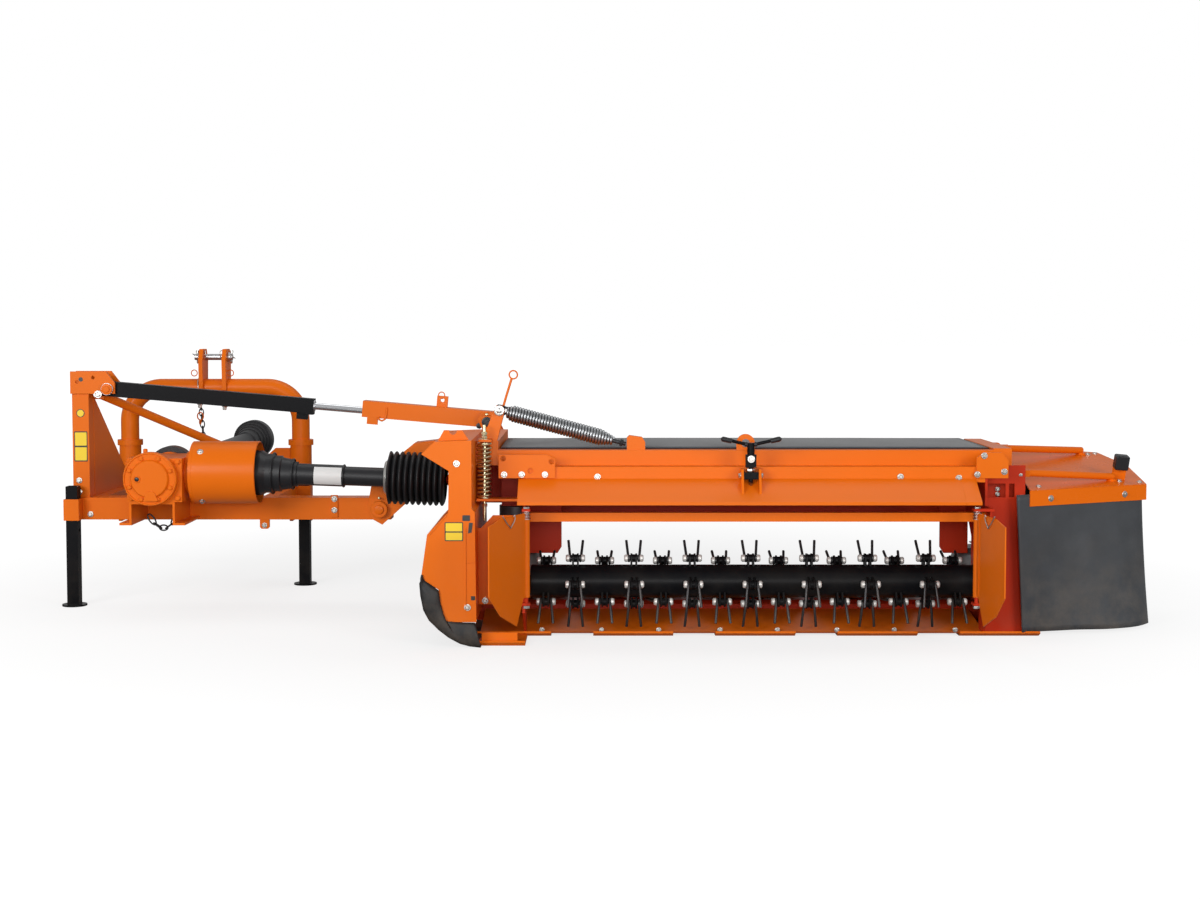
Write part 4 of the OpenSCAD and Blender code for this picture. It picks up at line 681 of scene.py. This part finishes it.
# Hood: a welded frame of square tube over the conditioner. Bolts hold its end brackets, and the
# same bolts carry the board that spreads the crop.
hood_bolts = []
beam_spots = [(1515, -1250, 528), (2496, -1250, 528), (2685, -1250, 524)]
bracket_spots = [(2743, -1258, 536), (2765, -1258, 597), (2830, -1258, 545)]
bracket_spots += [(x, -1258, 536) for x in (1213, 1270, 1345)]
for spot in beam_spots + bracket_spots:
    hood_bolts += hex_bolt(spot, REAR, 13, 10.5, 8)
for z in (462, 479):
    hood_bolts += hex_bolt((2833, -1154, z), REAR, 11, 8, 8)
build("hood_bolts", hood_bolts, "mower", zinc)
guard_nuts = []
lean = unit([0, math.cos(math.radians(11.2)), math.sin(math.radians(11.2))])
hinge = np.array([2900.0, -1156.0, 533.0])
for reach_y in (-26, 26, 274, 326):
    way = -1 if reach_y in (-26, 274) else 1
    guard_nuts += hex_bolt(hinge + lean * (reach_y - way * 1.0), lean * way, 15, 13, 10)
build("guard_hinge_nuts", guard_nuts, "mower", zinc)

# The board reaches past the bracket: its folded section is carried on to the end
section = [(-1250, 522), (-1300, 489.5), (-1352, 456), (-1352, 446)]
section += [(-1348, 446), (-1348, 452), (-1300, 483), (-1250, 515)]
board_end = np.array([[(x, y, z) for y, z in section] for x in (2689.5, 2740)], float)
build("board_end_piece", [surface(board_end, around=True, ends=True)], "mower", orange)


# Canvas: a coated woven sheet over the hood's frame, screwed down at its edges, crowned a little
# by its own stiffness, with a flap that hangs down in front of the discs.
def cloth_weave():
    """Crossing threads of a plain weave, read from the sheet's own map in metres."""
    group, enter, leave = effect_group("coated_weave", {"Threads": 700.0}, ("Height", "Shade"))
    flat = put(group, "UVMap")
    split = put(group, "SeparateXYZ", Vector=flat.outputs[0])
    waves = []
    for axis in ("X", "Y"):
        turns = calc(group, "MULTIPLY", split.outputs[axis], enter.outputs["Threads"])
        waves.append(calc(group, "ABSOLUTE", calc(group, "SINE", turns)))
    top = calc(group, "MAXIMUM", *waves)
    soft = put(group, "TexNoise", Vector=flat.outputs[0], Scale=9.0, Detail=5.0)
    group.links.new(top, leave.inputs["Height"])
    group.links.new(soft.outputs["Fac"], leave.inputs["Shade"])
    return group


weave = cloth_weave()


def coated_cloth(name, color, roughness):
    """Coated cloth: the weave shows through the coating as a faint relief, with paler rubbed patches."""
    made = bpy.data.materials.new(name)
    made.use_nodes = True
    tree = made.node_tree
    tree.nodes.clear()
    threads = put(tree, "Group", {"node_tree": weave}, Threads=700.0)
    patch = put(tree, "MapRange", Value=threads.outputs["Shade"], From_Min=0.35, From_Max=0.7)
    rubbed = [c * 1.35 + 0.004 for c in color]
    tint = put(tree, "Mix", {"data_type": "RGBA"}, i0=patch.outputs[0], i6=(*color, 1), i7=(*rubbed, 1))
    top = {"Color": tint.outputs[2], "Roughness": roughness, "Amount": 0.3}
    dirt = put(tree, "Group", {"node_tree": dust}, **top).outputs
    relief = put(tree, "Bump", Strength=0.25, Distance=0.0006, Height=threads.outputs["Height"])
    look = {"Base_Color": dirt["Color"], "Roughness": dirt["Roughness"], "Normal": relief.outputs[0]}
    body = put(tree, "BsdfPrincipled", **look, Sheen_Weight=0.15)
    put(tree, "OutputMaterial", Surface=body.outputs[0])
    return made


guard_cloth = coated_cloth("coated_guard_cloth", (0.026, 0.029, 0.034), 0.55)


def cloth_piece(name, grid, thick, body, node):
    """A grid of points becomes a sheet with a map in metres and a real thickness."""
    grid = np.asarray(grid, float) / 1000 + np.array([ACROSS, ALONG, 0])
    n, m = grid.shape[:2]
    points, quads = surface(grid)
    mesh = bpy.data.meshes.new(name)
    mesh.from_pydata(points.tolist(), [], quads)
    u = np.concatenate([np.zeros((n, 1)), np.cumsum(np.linalg.norm(np.diff(grid, axis=1), axis=2), 1)], 1)
    v = np.concatenate([np.zeros((1, m)), np.cumsum(np.linalg.norm(np.diff(grid, axis=0), axis=2), 0)], 0)
    corner = np.zeros(len(mesh.loops), np.int32)
    mesh.loops.foreach_get("vertex_index", corner)
    layer = mesh.uv_layers.new(name="cloth_map")
    layer.data.foreach_set("uv", np.stack([u, v], -1).reshape(-1, 2)[corner].astype(np.float32).ravel())
    mesh.materials.append(guard_cloth)
    mesh.shade_smooth()
    piece = bpy.data.objects.new(name, mesh)
    bpy.context.scene.collection.objects.link(piece)
    wall = piece.modifiers.new("wall", "SOLIDIFY")
    wall.thickness, wall.offset = thick, 0.0
    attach(piece, body)
    if node:
        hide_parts(node)
    return piece


canvas_left, canvas_right, canvas_rear, canvas_front = 1196, 2804, -1139, -676
frame_top, crown, flap_drop = 613, 9, 285
# The sheet is a little domed: the crown falls off to the frame on all sides, with slight ripples
tu, tv = np.meshgrid(np.linspace(0, 1, 61), np.linspace(0, 1, 21))
top_x = canvas_left + (canvas_right - canvas_left) * tu
top_y = canvas_rear + (canvas_front - canvas_rear) * tv
dome = crown * np.sin(np.pi * tv) ** 0.7 * np.sin(np.pi * tu) ** 0.35
ripple = 0.8 * np.sin(tu * 31 + tv * 4) * np.sin(np.pi * tv)
top_grid = np.stack([top_x, top_y, frame_top + dome + ripple], -1)
# The flap hangs straight, and its waves grow towards the hem, more to the front than to the rear
flap_left = 1271
fu, fv = np.meshgrid(np.linspace(0, 1, 61), np.linspace(0, 1, 13))
flap_x = flap_left + (canvas_right - flap_left) * fu
flap_wave = np.sin(fu * 23)
flap_y = canvas_front - 0.5 + 5 * flap_wave * fv ** 1.5 * np.where(flap_wave > 0, 1, 0.15)
flap_grid = np.stack([flap_x, flap_y, frame_top - 1 - flap_drop * fv], -1)
cloth_piece("hood_canvas", top_grid, 0.0035, "mower", "top_canvas")
cloth_piece("front_flap", flap_grid, 0.004, "mower", None)
strip = slab([(0, 0), (1530, 0), (1530, 26), (0, 26)], (1272, -669.5, 578), 3)
build("canvas_strips", [strip], "mower", orange)
screw = [(0, 8), (3, 7), (5, 4), (5.5, 0.5)]
screws = [turned(screw, (max(x, 1290), -669.7, 591), (0, 1, 0), 12) for x in np.linspace(1230, 2770, 9)]
build("canvas_screws", screws, "mower", zinc)

# Crank: a black V handle on a screw that tilts the spreading board, with a bright nut block
# between the board's cheeks and grips pressed on the handle's ends.
turn_x, turn_y = 2009.2, -1273.0
grip = [(0, 6), (2, 8.2), (26, 8.8), (32, 8), (36, 4), (37, 0.5)]
grip_collar = [(-4, 6), (0, 8), (3, 8), (6, 6)]
grips = []
for side in (-1, 1):
    way = unit([side * 84, -10, 20])
    grips.append(turned(grip, (turn_x + side * 62, turn_y - 7, 646), way, 18))
    grips.append(turned(grip_collar, (turn_x + side * 14, turn_y - 1, 635), way, 16))
build("crank_grips", grips, "mower", plastic)
crank_bits = hex_bolt((turn_x, turn_y - 12, 588), REAR, 13, 12, 9)
lock_nut = [(0, 12), (2, 13.5), (10, 13.5), (12, 12), (12, 7)]
crank_bits.append(turned(lock_nut, (turn_x, turn_y, 545), (0, 0, 1), 6))
for side in (-1, 1):
    crank_bits += hex_bolt((turn_x + side * 32.5, turn_y, 534), (side, 0, 0), 14, 11, 8)
build("crank_nuts", crank_bits, "mower", zinc)
turns = coil((turn_x, turn_y, 466), (0, 0, 1), 92, 23, lambda t: 7.2 + 0 * t, 1.8, 12, 5)
build("crank_thread", [turns], "mower", dark_steel)

# Swath deflectors: two sheets that swing on pins behind the side plates. Spring washers keep
# each one where it is set, and a wire clip is hooked into its upper corner.
pin_y = -1340.0
clip_bends = [(176, 428, 4), (150, 402, 7), (128, 386, 8), (104, 404, 8)]
clip_bends += [(96, 416, 8), (100, 424, 8), (108, 420, 8)]
for name, x, turned_by in (("left", 1288.0, -113.3), ("right", 2726.0, -83.7)):
    body = "swath_" + name
    spin = math.radians(turned_by)
    ahead = np.array([math.cos(spin), math.sin(spin), 0])
    face = np.array([-ahead[1], ahead[0], 0])
    face = face if face[1] < 0 else -face
    foot = np.array([x, pin_y, 0.0])
    fold_from = foot + ahead * 12 + face * 2.1 + [0, 0, 158]
    fold_strip = slab([(0, 0), (20, 0), (20, 255), (0, 255)], fold_from, 2.5, ahead, (0, 0, 1))
    build(f"deflector_{name}_fold", [fold_strip], body, orange)
    stack = []
    for z, r in ((400.5, 15), (405.3, 12.5), (410.1, 15), (414.9, 12.5), (419.7, 15), (423.8, 12.5)):
        stack.append(turned([(0, 7), (0, r), (1.8, r), (1.8, 7)], (x, pin_y, z), (0, 0, 1), 20))
    stack.append(turned([(0, 9.5), (1, 11), (5.5, 11), (6.6, 9)], (x, pin_y, 434.2), (0, 0, 1), 6, True))
    stack.append(turned([(-10, 9), (-9, 11), (-1, 11), (0, 9.5)], (x, pin_y, 123.5), (0, 0, 1), 6, True))
    build(f"deflector_{name}_washers", stack, "mower", zinc)
    wire = [foot + ahead * d + face * off + [0, 0, z] for d, z, off in clip_bends]
    build(f"deflector_{name}_clip", [round_bar(np.array(wire), 4, face, 8)], body, zinc)

# Inner cover: pressed orange sheet round the drive's upper end, with a bolted wing beside it and
# square holes for the tools that lock it.
sheet_rear, wing_rear = -1400, -1286
cover_bits = []
for spot in [(1071, sheet_rear, 583), (1104, sheet_rear, 127), (1152, wing_rear, 130)]:
    cover_bits += hex_bolt(spot, REAR, 13, 11, 8)
build("cover_bolts", cover_bits, "mower", zinc)
hole_places = [
    (rounded(24, 18, 2), 1089, 402),
    (rounded(13, 13, 2), 1115, 150),
    ([(0, 0), (12, 4), (16, 34), (4, 34)], 1106, 362),
]
# The square holes are thin black patches on the sheet: their dark insides are painted shade
holes = [slab(outline, (x, sheet_rear - 0.4, z), 0.6) for outline, x, z in hole_places]
build("cover_openings_painted_shade", holes, "mower", black_film_and_hole_shade)
crease_places = [
    ([(0, 0), (2.5, 0), (2.5, 262), (0, 250)], 1098, 118),
    ([(0, 0), (28, 0), (28, 2.5), (0, 2.5)], 1100, 268),
    ([(0, 0), (56, 62), (54, 65), (-2, 3)], 984, 356),
]
creases = [slab(outline, (x, sheet_rear - 1.2, z), 1.2) for outline, x, z in crease_places]
build("cover_creases", creases, "mower", orange)

# Inner skirt: a black rubber apron that hangs round the cover's lower corner and bends out over
# the inner skid, to keep stones in.
inner_x = [960, 966, 990, 1013, 1017, 1024, 1033, 1080, 1128]
inner_z = [232, 214, 198, 182, 144, 112, 84, 80, 79]
outer_x = [955, 958, 967, 984, 1014, 1046, 1082, 1112, 1146]
outer_z = [205, 165, 121, 88, 58, 34, 14, 6, 3]
steps = np.linspace(0, 8, 49)
fine_in = np.stack([np.interp(steps, np.arange(9), column) for column in (inner_x, inner_z)], -1)
fine_out = np.stack([np.interp(steps, np.arange(9), column) for column in (outer_x, outer_z)], -1)
skirt_y, skirt_right, skirt_deep = -1403, 1140, 300
skirt_rows = []
# Round the cover's corner the rubber bulges to the rear, then it runs forward from its outer edge
for t in np.linspace(0, 1, 9):
    line = fine_in * (1 - t) + fine_out * t
    bulge = -7 * math.sin(t * math.pi * 0.8) + 2 * np.sin(steps * 2.1) * t
    skirt_rows.append(np.stack([line[:, 0], skirt_y + bulge, line[:, 1]], -1))
for t in np.linspace(0.04, 1, 14):
    drawn_in = skirt_right + (fine_out[:, 0] - skirt_right) * (1 - 0.05 * t)
    forward = np.full(49, skirt_y + skirt_deep * t)
    skirt_rows.append(np.stack([drawn_in, forward, fine_out[:, 1] + 3 * t * np.sin(steps)], -1))
skirt_rows = np.array(skirt_rows)
skirt = cloth_piece("rubber_skirt", skirt_rows, 0.006, "mower", "inner_skirt")
skirt.data.materials[0] = rubber

# Outer guard: a glossy folded panel on two hinged tubes. It carries a dark lamp block on a tab,
# and its edge strip is bolted along the cloth.
PANEL_CORNER = np.array([2927.0, -1212.0, 475.0])
PANEL_RISE, PANEL_FALL = math.radians(10.7), math.radians(5.1)


def panel_point(x, y, h):
    """The panel's corner, plus the place on the sheet and the height above it, turned by rise and fall."""
    sa, ca, sb, cb = math.sin(PANEL_RISE), math.cos(PANEL_RISE), math.sin(PANEL_FALL), math.cos(PANEL_FALL)
    along_x = x * cb + y * sa * sb + h * ca * sb
    along_z = -x * sb + y * sa * cb + h * ca * cb
    return PANEL_CORNER + [along_x, y * ca - h * sa, along_z]


panel_coat = {"Specular_IOR_Level": 0.12, "Coat_Weight": 0.04, "Coat_Roughness": 0.05}
gloss_orange = finish("glossy_orange", (0.8, 0.15, 0.004), 0.3, shade=0.1, bump=0.03, **panel_coat)
frame["nodes"]["outer_guard"].data.materials[0] = gloss_orange
panel_x = unit(panel_point(1, 0, 0) - PANEL_CORNER)
panel_up = unit(panel_point(0, 0, 1) - PANEL_CORNER)
lamp_body = slab(rounded(46, 50, 6), panel_point(334, 266, 40), 34, panel_x, panel_up)
block = build("lamp_block", [lamp_body], "guard", plastic)
soft_edge = block.modifiers.new("soft_edge", "BEVEL")
soft_edge.width, soft_edge.segments, soft_edge.limit_method = 0.003, 2, "ANGLE"
strip_way = unit([math.cos(math.radians(25.7)), math.sin(math.radians(25.7)), 0])
strip_out = np.array([strip_way[1], -strip_way[0], 0])
guard_bits = []
for d in (85, 400):
    guard_bits += hex_bolt(PANEL_CORNER - [0, 0, 25] + strip_way * d, strip_out, 13, 11, 8)
for x, y in ((353, 226), (333, 562)):
    guard_bits += hex_bolt(panel_point(x, y, 4), panel_up, 12, 10, 7)
for x, y in ((40, 60), (425, 235), (425, 430), (365, 585), (40, 560)):
    guard_bits += hex_bolt(panel_point(x, y, 4), panel_up, 12, 9, 6)
build("guard_bolts", guard_bits, "guard", zinc)

# Guard curtain: one strip of the coated cloth hangs round the panel's free edges, stiff enough to
# stay straight, with slow waves towards its lower hem.
plan = [(2879, -1228.5), (3334, -1009.3), (3353, -997), (3363, -976)]
plan += [(3363, -775), (3360, -763), (3306, -622), (3294, -618), (2964, -648)]
plan = np.array(plan, float)
# The upper edge follows the sloping sheet, 3 mm below it, and hides behind the strip at the rear
fall_x = (plan[:, 0] - PANEL_CORNER[0]) * math.tan(PANEL_FALL)
rise_y = (plan[:, 1] - PANEL_CORNER[1]) * math.tan(PANEL_RISE) / math.cos(PANEL_FALL)
tops = PANEL_CORNER[2] - fall_x + rise_y - 3
tops[:4] = 466, 466, 470, 470
lengths = np.concatenate([[0], np.cumsum(np.linalg.norm(np.diff(plan, axis=0), axis=1))])
run_s = np.linspace(0, lengths[-1], 121)
line_x, line_y = np.interp(run_s, lengths, plan[:, 0]), np.interp(run_s, lengths, plan[:, 1])
line_top = np.interp(run_s, lengths, tops)
out_way = unit(np.stack([np.gradient(line_y), -np.gradient(line_x)], -1))
hang = np.linspace(0, 1, 25)[:, None]
waves = 3.2 * np.sin(run_s / 61) + 1.6 * np.sin(run_s / 23 + 1)
offset = waves[None] * hang ** 1.4
hem_z = 14
curtain_x, curtain_y = line_x + out_way[:, 0] * offset, line_y + out_way[:, 1] * offset
curtain = np.stack([curtain_x, curtain_y, line_top * (1 - hang) + hem_z * hang], -1)
# The free rear edge slants outwards, and the hem bulges to the rear in a bell before the corner
slant = np.clip(1 - run_s / 60, 0, 1)[None] * hang * 26
bulge = 82 * np.exp(-((run_s - 380) / 190) ** 2)[None] * hang ** 1.5
curtain[..., 0] += slant * strip_way[0] + bulge * strip_out[0]
curtain[..., 1] += slant * strip_way[1] + bulge * strip_out[1]
cloth_piece("guard_curtain", curtain, 0.005, "guard", "outer_curtain")
